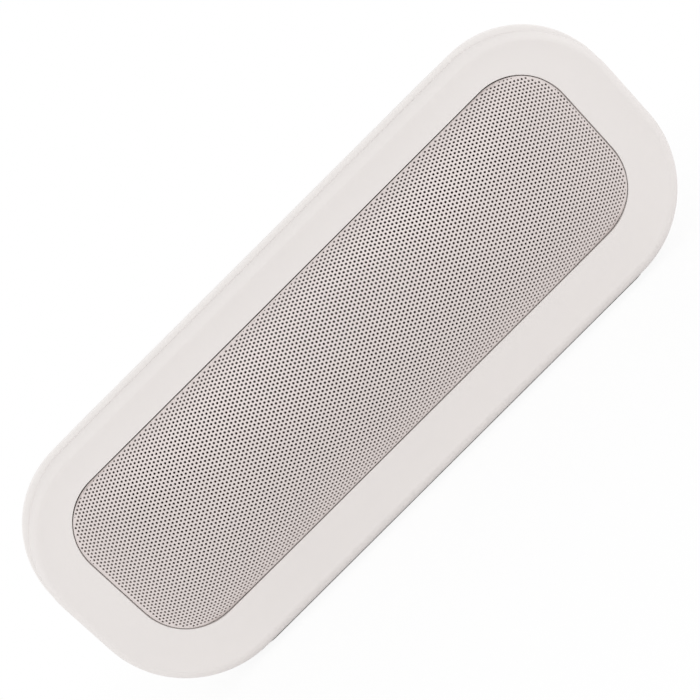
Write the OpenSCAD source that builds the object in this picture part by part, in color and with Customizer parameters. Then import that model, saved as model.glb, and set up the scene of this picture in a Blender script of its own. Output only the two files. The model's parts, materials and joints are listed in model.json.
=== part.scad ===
// Portable wireless speaker standing on its long side.
// Length runs along X, the front looks towards -Y and Z is up. The origin is under the middle of the speaker,
// on the surface that it stands on.

/* [Case] */
// Length of the rear case
case_len = 208; // [200:1:240]
// Height of the rear case without its foot
case_h = 79.4; // [78:0.2:96]
// Depth from the crown of the grille to the back
total_depth = 60; // [58:1:80]
// Corner radius of the rear case, seen from the front
case_corner_r = 29.5; // [27:0.5:36]
// Wall of the rear case
case_wall = 2.4; // [2:0.1:3]
// Rounding of the case's front edge, beside the seam
case_front_r = 0.8; // [0.5:0.1:2]
// Rounding of the case's back edge
case_back_r = 10; // [6:0.5:14]
// Width of the inner ledge that the baffle is sealed to
ledge_w = 3.2; // [2.5:0.1:4]
// Thickness of the inner ledge
ledge_t = 2; // [1.5:0.1:3]

/* [Bezel] */
// How far the bezel's ends stay inside the ends of the case
bezel_end_step = 0.6; // [0.3:0.1:1.5]
// How much lower than half the case half the bezel is
bezel_side_step = 1; // [0.6:0.1:1.5]
// Corner radius of the bezel, seen from the front
bezel_corner_r = 30.5; // [28:0.5:36]
// How far the bezel's middle lies below the case's middle
bezel_drop = 0.8; // [0:0.1:1]
// Rounding of the bezel's outer edge
bezel_edge_r = 4.5; // [3:0.1:5]
// Straight part of the bezel's side, from its rounding to the seam
bezel_side = 0.4; // [0.2:0.1:2]
// Thickness of the bezel's side wall
bezel_wall = 2.6; // [2.4:0.1:3]
// Thickness of the bezel's face
bezel_face_t = 2; // [1.6:0.1:2.6]
// Depth of the dish in the bezel's face
dish_depth = 0.65; // [0.3:0.05:1]
// Width of the hollow that leads from the rim down into the dish
dish_run = 6.2; // [4:0.1:8]
// Wall round the grille opening, behind the face
opening_wall = 1.4; // [1:0.1:2]
// Wall of the tongue that enters the case
tongue_wall = 1.4; // [1:0.1:1.8]
// How far the tongue's end stays in front of the ledge
tongue_relief = 1.6; // [1.2:0.1:2]
// Open seam between bezel and case
seam_gap = 0.3; // [0.2:0.05:0.6]

/* [Grille] */
// Width of the bezel's face beside the ends of the grille opening
end_border = 14.5; // [13:0.1:18]
// Width of the bezel's face above and below the grille opening
side_border = 12.75; // [12:0.05:15]
// Corner radius of the grille opening
opening_corner_r = 16.2; // [14:0.2:20]
// How far the middle of the opening lies above the case's middle
opening_rise = 1.15; // [0:0.05:2]
// How far the crown of the grille stands in front of the lip of the opening
lip_back = 4.6; // [3:0.1:6]
// Gap between the grille and the opening
grille_gap = 0.4; // [0.3:0.05:0.8]
// How far the grille's edge lies behind the lip of the opening
edge_depth = 0.3; // [0.1:0.1:1]
// Thickness of the grille's sheet
sheet_t = 0.6; // [0.5:0.1:1]
// Depth of the grille from its crown to the end of its skirt
grille_depth = 10.4; // [9.6:0.1:13]
// Length of the dome's curved run at each end of the grille
dome_end_run = 43.2; // [36:0.2:50]
// Distance between neighbouring holes
hole_pitch = 5.6; // [5.4:0.1:8]
// Width of a hole between opposite sides
hole_w = 3; // [2:0.1:3.4]
// Sides of a hole
hole_sides = 8; // [6:1:8]
// Solid sheet between the skirt and the outermost holes
hole_margin = 1; // [0.6:0.1:3]
// Thickness of the cloth behind the holes
cloth_t = 0.4; // [0.3:0.1:0.6]

/* [Baffle] */
// Thickness of the baffle
baffle_t = 3; // [2.4:0.1:3.4]
// Thickness of the seal between baffle and ledge
seal_t = 0.8; // [0.6:0.1:1.2]
// Distance of the corner bosses from the ends of the case
boss_end = 13; // [12:0.5:16]
// Distance of the corner bosses from the top and bottom of the case
boss_side = 17.8; // [16:0.2:20]
// Distance of the middle bosses from the top and bottom of the case
mid_boss_side = 8.3; // [7.5:0.1:8.6]
// Length of the middle bosses
mid_boss_len = 12; // [11:0.5:13]
// Diameter of a boss
boss_d = 7; // [6:0.2:7.4]
// Pilot hole in a boss
pilot_d = 2.5; // [2:0.1:2.8]
// Depth of a pilot hole
pilot_depth = 9; // [8.5:0.5:10]

/* [Drivers] */
// Distance from a driver's flange to the end of the grille opening
driver_end_gap = 0.9; // [0.2:0.1:3]
// Distance from a driver's flange to the radiator's frame
driver_side_gap = 1; // [0.6:0.1:3]
// Hole in the baffle for a driver
driver_hole_d = 44.4; // [44:0.2:46]
// Diameter of the basket's flange
flange_d = 54; // [53:0.2:54.6]
// Thickness of the basket's flange
flange_t = 1.4; // [1:0.1:2]
// Thickness of the gasket in front of the flange
gasket_t = 0.8; // [0.6:0.1:1.2]
// Depth from the flange's back to the basket's floor
basket_depth = 11; // [10.5:0.1:13]
// Wall of the basket
basket_wall = 1.4; // [1:0.1:1.6]
// Outer diameter of the basket's floor
basket_floor_d = 33.6; // [33:0.2:36]
// Depth of the ledge for the spider, behind the flange
spider_depth = 6.8; // [6:0.1:7.5]
// Width of each window in the basket
window_w = 13; // [10:0.5:15]
// Diameter of the driver's screw circle
screw_circle_d = 50; // [49.8:0.1:50.4]
// Screw hole in the flange
flange_hole_d = 1.9; // [1.8:0.1:2]
// Thickness of the top plate
top_plate_t = 3; // [2:0.1:4]
// Diameter of the top plate and of the yoke's back plate
plate_d = 30; // [28:0.2:32]
// Diameter of the ring magnet
magnet_d = 32; // [30:0.2:34]
// Inner diameter of the ring magnet
magnet_hole_d = 18; // [17:0.2:20]
// Thickness of the ring magnet
magnet_t = 6; // [5:0.1:8]
// Thickness of the yoke's back plate
yoke_t = 2.8; // [2:0.1:4]
// Diameter of the yoke's pole
pole_d = 12.8; // [12:0.1:14]
// Free space on each side of the voice coil
coil_gap = 0.35; // [0.3:0.05:0.5]
// Wall of the coil's former
former_t = 0.2; // [0.2:0.05:0.3]
// Thickness of the winding on the former
winding_t = 0.25; // [0.2:0.05:0.4]
// Length of the winding
winding_len = 5; // [4:0.5:6]
// Diameter of the cone
cone_d = 35.2; // [34:0.2:36]
// Thickness of the cone
cone_t = 0.5; // [0.4:0.1:0.8]
// Depth of the cone from its edge to its neck
cone_depth = 6.4; // [5:0.1:7]
// Thickness of the surround
surround_t = 0.5; // [0.4:0.1:0.7]
// Width of the surround's flat lips
lip_w = 1.4; // [1:0.1:1.6]
// Diameter of the dust cap
dust_cap_d = 16.4; // [16:0.2:20]
// Height of the dust cap
dust_cap_h = 2.6; // [2:0.1:4]
// Travel of the cone each way
cone_travel = 1.5; // [1:0.1:2]

/* [Passive radiator] */
// How far the radiator's frame stays inside the grille opening, above and below
frame_relief = 1.9; // [1:0.1:3]
// Width of the radiator's frame
frame_border = 4; // [3:0.1:5]
// Thickness of the radiator's frame
frame_t = 2; // [1.6:0.1:3]
// Corner radius of the radiator's opening
radiator_corner_r = 14; // [13:0.5:15]
// Width of the roll between the plate and the frame
roll_w = 6.5; // [5:0.1:7]
// Thickness of the roll
roll_t = 0.6; // [0.5:0.1:0.8]
// Thickness of the radiator's plate
plate_t = 1.2; // [1:0.1:2]
// How far the weight stays inside the plate's edge
weight_margin = 7; // [5:0.5:8]
// Thickness of the weight
weight_t = 3; // [2:0.1:5]

/* [Battery] */
// Diameter of a cell
cell_d = 18.3; // [18:0.1:18.6]
// Length of a cell
cell_len = 65; // [64:0.5:68]
// Wall of the sleeve round the cells
sleeve_t = 0.3; // [0.2:0.1:0.5]
// Depth of the cradle that the cells lie in
cradle_depth = 8; // [6:0.5:9]
// How far the cradle reaches past the cells, above and below
cradle_reach = 2; // [1:0.5:3]
// Length of the cradle between its ears
cradle_len = 70; // [69:0.5:74]
// Length of the cradle over its ears
cradle_ear_len = 88; // [86:0.5:90]
// Thickness of the cradle's ears
cradle_ear_t = 2; // [1.5:0.1:3]
// Height of the cradle's ears
cradle_ear_h = 12; // [10:0.5:16]

/* [Boards] */
// Length of the main board
board_len = 92; // [88:1:94]
// Depth of the main board
board_w = 28; // [27:0.5:28.5]
// Thickness of both boards
board_t = 1.6; // [1.2:0.1:1.6]
// Height of the main board over the case's floor
board_lift = 9.6; // [9:0.1:10]
// Distance of the main board from the back wall
board_back_gap = 1.6; // [1.2:0.1:2]
// Distance of the board's posts from its edges
post_edge = 6; // [5:0.5:7]
// Diameter of a post
post_d = 5; // [4.6:0.1:5.6]
// Length of the key board
key_board_len = 124; // [122:0.5:126]
// Width of the key board
key_board_w = 12; // [10:0.5:12]
// Distance of the key board's posts from its ends
key_post_edge = 5; // [4:0.5:6]
// Thickness of a chip
chip_h = 1; // [0.8:0.1:1.6]
// Side of a coil
coil_side = 6; // [5:0.5:6.4]
// Height of a coil
coil_h = 3; // [2:0.5:4]
// Diameter of a capacitor
can_d = 6.3; // [5:0.1:6.5]
// Height of a capacitor
can_h = 7; // [5.5:0.5:8]
// Length of the radio module
radio_len = 13; // [12:0.5:13.5]
// Depth of the radio module
radio_w = 17; // [15:0.5:17.5]
// Thickness of the radio module
radio_h = 2; // [1.6:0.1:2.6]
// Length of a plug
plug_len = 6; // [5:0.5:7]
// Depth of a plug
plug_w = 4.5; // [4:0.1:4.6]
// Height of a plug
plug_h = 4; // [3:0.5:5]

/* [Sockets] */
// Distance of the charging socket from the middle
usb_x = -14; // [-18:0.5:-12]
// Width of the charging socket
usb_w = 8.9; // [8.8:0.1:9.1]
// Height of the charging socket
usb_h = 3.3; // [3.2:0.1:3.5]
// Length of the charging socket
usb_len = 7.4; // [6.5:0.1:8]
// Sheet of the charging socket's shell
usb_sheet = 0.35; // [0.3:0.05:0.45]
// Distance of the audio socket from the middle
audio_x = 14; // [12:0.5:18]
// Bore of the audio socket
audio_bore_d = 3.6; // [3.5:0.05:3.7]
// Depth of the audio socket's bore
audio_bore_len = 14; // [12:0.5:14.5]
// Diameter of the audio socket's collar
audio_collar_d = 6; // [5.6:0.1:6.4]
// Width of the audio socket's body
audio_body_w = 6.4; // [6.2:0.1:7]
// Height of the audio socket's body
audio_body_h = 5; // [4.6:0.1:5.4]
// Length of the recess round the sockets
port_recess_len = 46; // [44:0.5:50]
// Height of the recess round the sockets
port_recess_h = 11; // [10:0.5:12]
// Depth of the recess round the sockets
port_recess_depth = 1.2; // [0.8:0.1:1.4]

/* [Keys] */
// Length of a key
key_len = 13; // [11:0.2:13.4]
// Width of a key
key_w = 7; // [6:0.2:8]
// Distance between neighbouring keys
key_pitch = 18; // [17.6:0.1:18.6]
// Distance of the keys behind the middle of the case
key_y = 3; // [2.6:0.1:4]
// Gap all round a key
key_gap = 0.3; // [0.25:0.05:0.4]
// Width of the rim that keeps a key in the case
key_rim = 1; // [0.8:0.1:1.3]
// Thickness of that rim
key_rim_t = 1; // [0.8:0.1:1.4]
// Free space over the rim at rest
key_rest_gap = 0.2; // [0.1:0.05:0.3]
// Travel of a key
key_travel = 0.4; // [0.3:0.05:0.6]
// Length of the stem under a key
key_stem_len = 2; // [1.5:0.1:2.5]
// Diameter of the stem under a key
key_stem_d = 3; // [2.4:0.1:4]
// Diameter of a snap dome
dome_d = 7; // [6:0.2:8]
// Height of a snap dome
dome_h = 1; // [0.8:0.1:1.2]
// Thickness of a snap dome
dome_t = 0.2; // [0.15:0.05:0.3]
// Diameter of the light guide
guide_d = 2.4; // [2:0.1:3]
// Distance of the light guide from the middle
guide_x = -48.5; // [-49:0.1:-48]

/* [Foot] */
// How far the foot stands below the case
foot_drop = 1.4; // [1:0.1:3]
// How deep the foot is let into the case
foot_inset = 0.8; // [0.5:0.1:1]
// Distance of the foot's ends from the ends of the case
foot_end = 28; // [24:0.5:34]
// Depth of the foot from front to back
foot_w = 36; // [30:1:38]
// Corner radius of the foot
foot_corner_r = 5; // [3:0.5:8]
// Distance between the grooves under the foot
groove_pitch = 7; // [5:0.5:9]
// Width of a groove under the foot
groove_w = 1.4; // [1:0.1:2]
// Depth of a groove under the foot
groove_depth = 0.6; // [0.4:0.1:1]

/* [Fasteners] */
// Thread diameter of the case's screws
case_screw_d = 3; // [2.6:0.1:3]
// Head diameter of the case's screws
case_screw_head_d = 5.4; // [5:0.1:5.6]
// Head height of the case's screws
case_screw_head_h = 1.8; // [1.4:0.1:2]
// Length of the case's screws under the head
case_screw_len = 11; // [10:0.5:11.5]
// Thread diameter of the small screws
small_screw_d = 2; // [1.8:0.1:2.2]
// Head diameter of the small screws
small_screw_head_d = 3.8; // [3.4:0.1:4]
// Head height of the small screws
small_screw_head_h = 1.3; // [1:0.1:1.5]
// Length of the small screws under the head
small_screw_len = 6; // [5:0.5:6.5]
// Pilot hole for the small screws
small_pilot_d = 1.6; // [1.4:0.1:1.7]

/* [Leads] */
// Diameter of a lead
lead_d = 1.6; // [1.2:0.1:2]
// How far a lead runs straight on from its end
lead_run = 5; // [4:0.5:6]
// How far a lead swings aside on its way
lead_swing = 2; // [1:0.5:3]

/* [Fits] */
// Gap between pieces that are fitted into each other
fit_gap = 0.2; // [0.15:0.05:0.3]

/* [Hidden] */
$fn = 48;
lead_sides = 8;
overcut = 1;

bezel_len = case_len - 2 * bezel_end_step;
bezel_h = case_h - 2 * bezel_side_step;
opening_len = bezel_len - 2 * end_border;
opening_h = bezel_h - 2 * side_border;
case_z = foot_drop + case_h / 2;
case_top_z = foot_drop + case_h;
floor_z = foot_drop + case_wall;
ceiling_z = case_top_z - case_wall;
bezel_z = case_z - bezel_drop;
grille_z = case_z + opening_rise;

crown_y = -total_depth / 2;
lip_y = crown_y + lip_back;
rim_y = lip_y - dish_depth;
face_back_y = lip_y + bezel_face_t;
seam_y = rim_y + bezel_edge_r + bezel_side;
case_front_y = seam_y + seam_gap;
baffle_y = crown_y + grille_depth;
baffle_back_y = baffle_y + baffle_t;
ledge_y = baffle_back_y + seal_t;
tongue_end_y = ledge_y - tongue_relief;
back_y = total_depth / 2;
inner_back_y = back_y - case_wall;

grille_len = opening_len - 2 * grille_gap;
grille_h = opening_h - 2 * grille_gap;
grille_corner_r = opening_corner_r - grille_gap;
dome_rise = lip_back + edge_depth;
dome_r = (grille_h * grille_h / 4 + dome_rise * dome_rise) / (2 * dome_rise);
dome_end_r = (dome_end_run * dome_end_run + dome_rise * dome_rise) / (2 * dome_rise);
dome_flat = grille_len - 2 * dome_end_run;

tongue_inset = case_wall + fit_gap;
baffle_inset = tongue_inset + tongue_wall + fit_gap;
boss_x = case_len / 2 - boss_end;
boss_z = case_h / 2 - boss_side;
mid_boss_z = case_h / 2 - mid_boss_side;
boss_places = [for (sx = [-1, 1], sz = [-1, 1]) [sx * boss_x, sz * boss_z]];
mid_boss_places = [for (sz = [-1, 1]) [0, sz * mid_boss_z]];

driver_x = (opening_len - flange_d) / 2 - driver_end_gap;
frame_len = 2 * (driver_x - driver_side_gap) - flange_d;
frame_h = opening_h - 2 * frame_relief;
radiator_len = frame_len - 2 * frame_border;
radiator_h = frame_h - 2 * frame_border;

// Depths in a driver, counted from the back of the baffle
flange_front = gasket_t;
flange_back = flange_front + flange_t;
spider_seat = flange_back + spider_depth;
basket_floor = flange_back + basket_depth;
top_plate_front = basket_floor + basket_wall;
magnet_front = top_plate_front + top_plate_t;
yoke_front = magnet_front + magnet_t;
yoke_back = yoke_front + yoke_t;
former_inner_r = pole_d / 2 + coil_gap;
former_outer_r = former_inner_r + former_t;
winding_r = former_outer_r + winding_t;
top_plate_hole_r = winding_r + coil_gap;
basket_hub_r = top_plate_hole_r + 1.5;
winding_back = magnet_front + (winding_len - top_plate_t) / 2;
cone_r = cone_d / 2;
cone_neck_r = former_outer_r;
cone_edge = flange_front;
cone_neck = cone_edge + cone_depth;
surround_outer_r = driver_hole_d / 2 - fit_gap * 2;

// Places of the radiator's roll, counted outwards from the corner's centre
roll_outer = radiator_corner_r;
roll_inner = radiator_corner_r - roll_w;
radiator_plate_len = radiator_len - 2 * roll_w;
radiator_plate_h = radiator_h - 2 * roll_w;
weight_len = radiator_plate_len - 2 * weight_margin;
weight_h = radiator_plate_h - 2 * weight_margin;

board_z = floor_z + board_lift;
board_top_z = board_z + board_t;
board_back_y = inner_back_y - board_back_gap;
board_y = board_back_y - board_w / 2;
post_dx = board_len - 2 * post_edge;
post_dy = board_w - 2 * post_edge;
key_post_dx = key_board_len - 2 * key_post_edge;
socket_face_y = back_y - port_recess_depth;
usb_z = board_top_z + usb_h / 2;
audio_z = board_top_z + audio_body_h / 2;
port_recess_z = (usb_z + audio_z) / 2;

key_rim_top_z = ceiling_z - key_rest_gap;
key_stem_z = key_rim_top_z - key_rim_t - key_stem_len;
key_board_top_z = key_stem_z - dome_h;
key_board_z = key_board_top_z - board_t;
key_xs = [for (i = [-2:2]) i * key_pitch];

// The cells lie midway between the tallest part on the main board and the key board
pair_z = (board_top_z + can_h + key_board_z) / 2;
cell_z = [pair_z - cell_d / 2, pair_z + cell_d / 2];
cell_y = inner_back_y - cradle_ear_t - cell_d / 2 - sleeve_t;
cradle_h = 2 * (cell_d + cradle_reach);

// Parts on the main board: place as shares of its length and depth, from its middle
chips = [[-0.14, 0.04, 7, 7], [0.03, 0.07, 9, 9], [-0.315, 0.21, 5, 5], [-0.01, -0.285, 5, 4]];
coil_places = [[-0.175, -0.285], [-0.075, -0.285]];
can_places = [[-0.39, -0.11], [-0.29, -0.11]];
radio_share = 0.295;
plug_shares = [-0.37, 0.22, 0.37, 0.09];
plug_edge = 0.5;
plug_xs = [for (share = plug_shares) share * board_len];
plug_y = board_y + (plug_w - board_w) / 2 + plug_edge;
plug_top_z = board_top_z + plug_h;
nub_d = 6;
nub_h = 1;

driver_pilot_depth = 2;
screw_turn = 45;
driver_screw_len = gasket_t + flange_t + driver_pilot_depth - fit_gap;
driver_screw_head_d = 2.8;
terminal_w = 7;
terminal_reach = 1.5;
terminal_z = grille_z - flange_d / 2 - terminal_reach / 2;
lamp_h = 0.8;
guide_flange = 0.8;

foot_top_z = foot_drop + foot_inset;
foot_len = case_len - 2 * foot_end;
foot_front_y = case_front_y + case_front_r;
foot_y = foot_front_y + foot_w / 2;

bezel_colour = [0.89, 0.87, 0.86];
case_colour = [0.91, 0.9, 0.89];
grille_colour = [0.84, 0.82, 0.81];
cloth_colour = [0.1, 0.09, 0.09];
inner_colour = [0.16, 0.16, 0.17];
rubber_colour = [0.12, 0.12, 0.12];
foot_colour = [0.5, 0.49, 0.48];
steel_colour = [0.62, 0.63, 0.65];
ferrite_colour = [0.2, 0.2, 0.22];
copper_colour = [0.72, 0.42, 0.24];
paper_colour = [0.2, 0.19, 0.18];
board_colour = [0.08, 0.3, 0.18];
cell_colour = [0.3, 0.5, 0.7];
lens_colour = [0.9, 0.95, 0.9];
spider_colour = [0.8, 0.6, 0.3];
chip_colour = [0.1, 0.1, 0.11];
can_colour = [0.25, 0.28, 0.4];
plug_colour = [0.93, 0.92, 0.88];
red_lead_colour = [0.75, 0.15, 0.12];

// A flat shape stands upright and grows towards the back
module upright() {
    mirror([0, 1, -1]) children();
}

// A flat shape's first direction points up, and it grows along the speaker
module lengthwise() {
    mirror([1, 0, -1]) children();
}

module rounded_outline(len, h, r) {
    square([len - 2 * r, h], center = true);
    square([len, h - 2 * r], center = true);
    for (sx = [-1, 1], sz = [-1, 1])
        translate([sx * (len / 2 - r), sz * (h / 2 - r)]) circle(r);
}

// An upright plate with rounded corners, between two depths
module slab(len, h, r, front, back) {
    translate([0, front, 0]) upright() linear_extrude(back - front) rounded_outline(len, h, r);
}

// Carries a profile round a rounded rectangle: its first direction points outwards from the corner's centre,
// its second is the depth
module round_the_edge(len, h, r) {
    run = len - 2 * r;
    rise = h - 2 * r;
    for (side = [0, 1]) mirror([side, 0, 0]) {
        for (end = [0, 1]) mirror([0, 0, end])
            translate([run / 2, 0, rise / 2]) upright() rotate_extrude(angle = 90) children();
        translate([run / 2, 0, 0]) linear_extrude(rise, center = true) children();
    }
    for (end = [0, 1]) mirror([0, 0, end])
        translate([0, 0, rise / 2]) lengthwise() linear_extrude(run, center = true) children();
}

// A solid moulding whose edge is the profile
module moulding(len, h, r, front, back) {
    round_the_edge(len, h, r) children();
    translate([r - len / 2, front, r - h / 2]) cube([len - 2 * r, back - front, h - 2 * r]);
}

// Edge of a case with a rounded front and a rounded back
module case_edge(r, front, back, front_r, back_r) {
    half = (back - front) / 2;
    translate([0, front]) square([r - front_r, half]);
    translate([0, front + half]) square([r - back_r, half]);
    translate([0, front + front_r]) square([r, back - front - front_r - back_r]);
    translate([r - front_r, front + front_r]) circle(front_r);
    translate([r - back_r, back - back_r]) circle(back_r);
}

// Edge of the bezel: a quarter round, then a hollow that leads down into the dish
module bezel_edge() {
    dish_r = (dish_run * dish_run + dish_depth * dish_depth) / (2 * dish_depth);
    crest = bezel_corner_r - bezel_edge_r;
    dish_start = crest - dish_run;
    difference() {
        union() {
            translate([0, rim_y]) square([crest, seam_y - rim_y]);
            translate([0, rim_y + bezel_edge_r]) square([bezel_corner_r, bezel_side]);
            intersection() {
                translate([crest, rim_y + bezel_edge_r]) circle(bezel_edge_r);
                translate([crest, rim_y]) square([bezel_edge_r, bezel_edge_r]);
            }
        }
        translate([-overcut, rim_y - overcut]) square([dish_start + overcut, dish_depth + overcut]);
        intersection() {
            translate([dish_start, lip_y - dish_r]) circle(dish_r);
            translate([dish_start, rim_y - overcut]) square([dish_run, dish_depth + 2 * overcut]);
        }
    }
}

module front_bezel() {
    color(bezel_colour) difference() {
        union() {
            translate([0, 0, bezel_z]) difference() {
                moulding(bezel_len, bezel_h, bezel_corner_r, lip_y, seam_y) bezel_edge();
                slab(bezel_len - 2 * bezel_wall, bezel_h - 2 * bezel_wall, bezel_corner_r - bezel_wall,
                    face_back_y, seam_y + overcut);
            }
            translate([0, 0, case_z]) difference() {
                slab(case_len - 2 * tongue_inset, case_h - 2 * tongue_inset, case_corner_r - tongue_inset,
                    face_back_y - overcut, tongue_end_y);
                slab(case_len - 2 * (tongue_inset + tongue_wall), case_h - 2 * (tongue_inset + tongue_wall),
                    case_corner_r - tongue_inset - tongue_wall, face_back_y - 2 * overcut,
                    tongue_end_y + overcut);
            }
            translate([0, 0, grille_z])
                slab(opening_len + 2 * opening_wall, opening_h + 2 * opening_wall,
                    opening_corner_r + opening_wall, face_back_y - overcut, baffle_y);
        }
        translate([0, 0, grille_z])
            slab(opening_len, opening_h, opening_corner_r, crown_y, baffle_y + overcut);
    }
}

// The dome across the grille turned about a line along the speaker, set in by a distance
module dome(inset) {
    reach = grille_len;
    translate([0, crown_y + dome_r, 0]) lengthwise() rotate_extrude() intersection() {
        translate([0, -reach / 2]) square([dome_r - inset, reach]);
        union() {
            translate([0, -dome_flat / 2]) square([dome_r, dome_flat]);
            for (end = [0, 1]) mirror([0, end]) intersection() {
                translate([dome_r - dome_end_r, dome_flat / 2]) circle(dome_end_r - inset);
                translate([0, dome_flat / 2]) square([dome_r, reach]);
            }
        }
    }
}

// The space under the dome, inside an outline that is set in by a distance
module domed_block(side_inset, front_inset, back) {
    intersection() {
        slab(grille_len - 2 * side_inset, grille_h - 2 * side_inset, grille_corner_r - side_inset,
            crown_y - overcut, back);
        dome(front_inset);
    }
}

// How far a place lies outside the straight middle of the grille's outline, towards its edge
function edge_reach(x, z) = norm([
    max(abs(x) - grille_len / 2 + grille_corner_r, 0),
    max(abs(z) - grille_h / 2 + grille_corner_r, 0)]);

function inside_grille(x, z, margin) = edge_reach(x, z) <= grille_corner_r - margin;

module grille_holes() {
    column = hole_pitch * cos(30);
    across = floor(grille_len / 2 / column);
    up = floor(grille_h / 2 / hole_pitch) + 1;
    margin = sheet_t + hole_margin + hole_w / 2;
    for (i = [-across:across], j = [-up:up]) {
        x = i * column;
        z = (j + (i % 2 == 0 ? 0 : 0.5)) * hole_pitch;
        if (inside_grille(x, z, margin))
            translate([x, crown_y - overcut, z]) upright() rotate([0, 0, 180 / hole_sides])
                cylinder(d = hole_w / cos(180 / hole_sides), h = grille_depth + overcut, $fn = hole_sides);
    }
}

module grille() {
    color(grille_colour) translate([0, 0, grille_z]) difference() {
        domed_block(0, 0, baffle_y);
        domed_block(sheet_t, sheet_t, baffle_y + overcut);
        grille_holes();
    }
}

module grille_cloth() {
    front = sheet_t + fit_gap / 2;
    edge = sheet_t + fit_gap;
    color(cloth_colour) translate([0, 0, grille_z]) difference() {
        domed_block(edge, front, baffle_y - overcut / 2);
        domed_block(edge - overcut, front + cloth_t, baffle_y);
    }
}

module baffle() {
    color(inner_colour) difference() {
        translate([0, 0, case_z])
            slab(case_len - 2 * baffle_inset, case_h - 2 * baffle_inset, case_corner_r - baffle_inset,
                baffle_y, baffle_back_y);
        for (side = [-1, 1]) translate([side * driver_x, baffle_y - overcut, grille_z])
            upright() cylinder(d = driver_hole_d, h = baffle_t + 2 * overcut);
        translate([0, 0, grille_z]) slab(radiator_len, radiator_h, radiator_corner_r,
            baffle_y - overcut, baffle_back_y + overcut);
        for (p = concat(boss_places, mid_boss_places)) translate([p[0], baffle_y - overcut, case_z + p[1]])
            upright() cylinder(d = case_screw_d + 2 * fit_gap, h = baffle_t + 2 * overcut);
        for (side = [-1, 1]) at_driver(side) translate([0, 0, -driver_pilot_depth])
            driver_screw_places() cylinder(d = small_pilot_d, h = driver_pilot_depth + overcut);
    }
}

module baffle_seal() {
    outer = case_wall + fit_gap;
    inner = case_wall + ledge_w;
    color(rubber_colour) translate([0, 0, case_z]) difference() {
        slab(case_len - 2 * outer, case_h - 2 * outer, case_corner_r - outer, baffle_back_y, ledge_y);
        slab(case_len - 2 * inner, case_h - 2 * inner, case_corner_r - inner,
            baffle_back_y - overcut, ledge_y + overcut);
        for (p = concat(boss_places, mid_boss_places)) translate([p[0], baffle_back_y - overcut, p[1]])
            upright() cylinder(d = boss_d + 2 * fit_gap, h = seal_t + 2 * overcut);
    }
}

module case_shell() {
    inner_r = case_corner_r - case_wall;
    difference() {
        moulding(case_len, case_h, case_corner_r, case_front_y, back_y)
            case_edge(case_corner_r, case_front_y, back_y, case_front_r, case_back_r);
        moulding(case_len - 2 * case_wall, case_h - 2 * case_wall, inner_r, case_front_y - overcut, inner_back_y)
            case_edge(inner_r, case_front_y - overcut, inner_back_y, overcut / 2, case_back_r - case_wall);
    }
    difference() {
        slab(case_len - case_wall, case_h - case_wall, case_corner_r - case_wall / 2, ledge_y, ledge_y + ledge_t);
        slab(case_len - 2 * (case_wall + ledge_w), case_h - 2 * (case_wall + ledge_w), inner_r - ledge_w,
            ledge_y - overcut, ledge_y + ledge_t + overcut);
    }
}

module case_bosses() {
    for (p = boss_places) translate([p[0], baffle_back_y, p[1]])
        upright() cylinder(d = boss_d, h = inner_back_y - baffle_back_y + overcut);
    for (p = mid_boss_places) {
        wall_side = sign(p[1]);
        translate([p[0], baffle_back_y, p[1]]) upright() cylinder(d = boss_d, h = mid_boss_len);
        translate([-boss_d / 2, ledge_y, wall_side > 0 ? p[1] : -case_h / 2 + case_wall / 2])
            cube([boss_d, baffle_back_y + mid_boss_len - ledge_y, case_h / 2 - case_wall / 2 - mid_boss_z]);
    }
}

module board_post_places() {
    for (sx = [-1, 1], sy = [-1, 1]) translate([sx * post_dx / 2, board_y + sy * post_dy / 2, 0]) children();
}

module key_post_places() {
    for (sx = [-1, 1]) translate([sx * key_post_dx / 2, key_y, 0]) children();
}

module cradle_screw_places() {
    for (sx = [-1, 1]) translate([sx * (cradle_ear_len + cradle_len) / 4, 0, pair_z]) children();
}

module obround(len, w, h) {
    translate([-(len - w) / 2, -w / 2, 0]) cube([len - w, w, h]);
    for (s = [-1, 1]) translate([s * (len - w) / 2, 0, 0]) cylinder(d = w, h = h);
}

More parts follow.
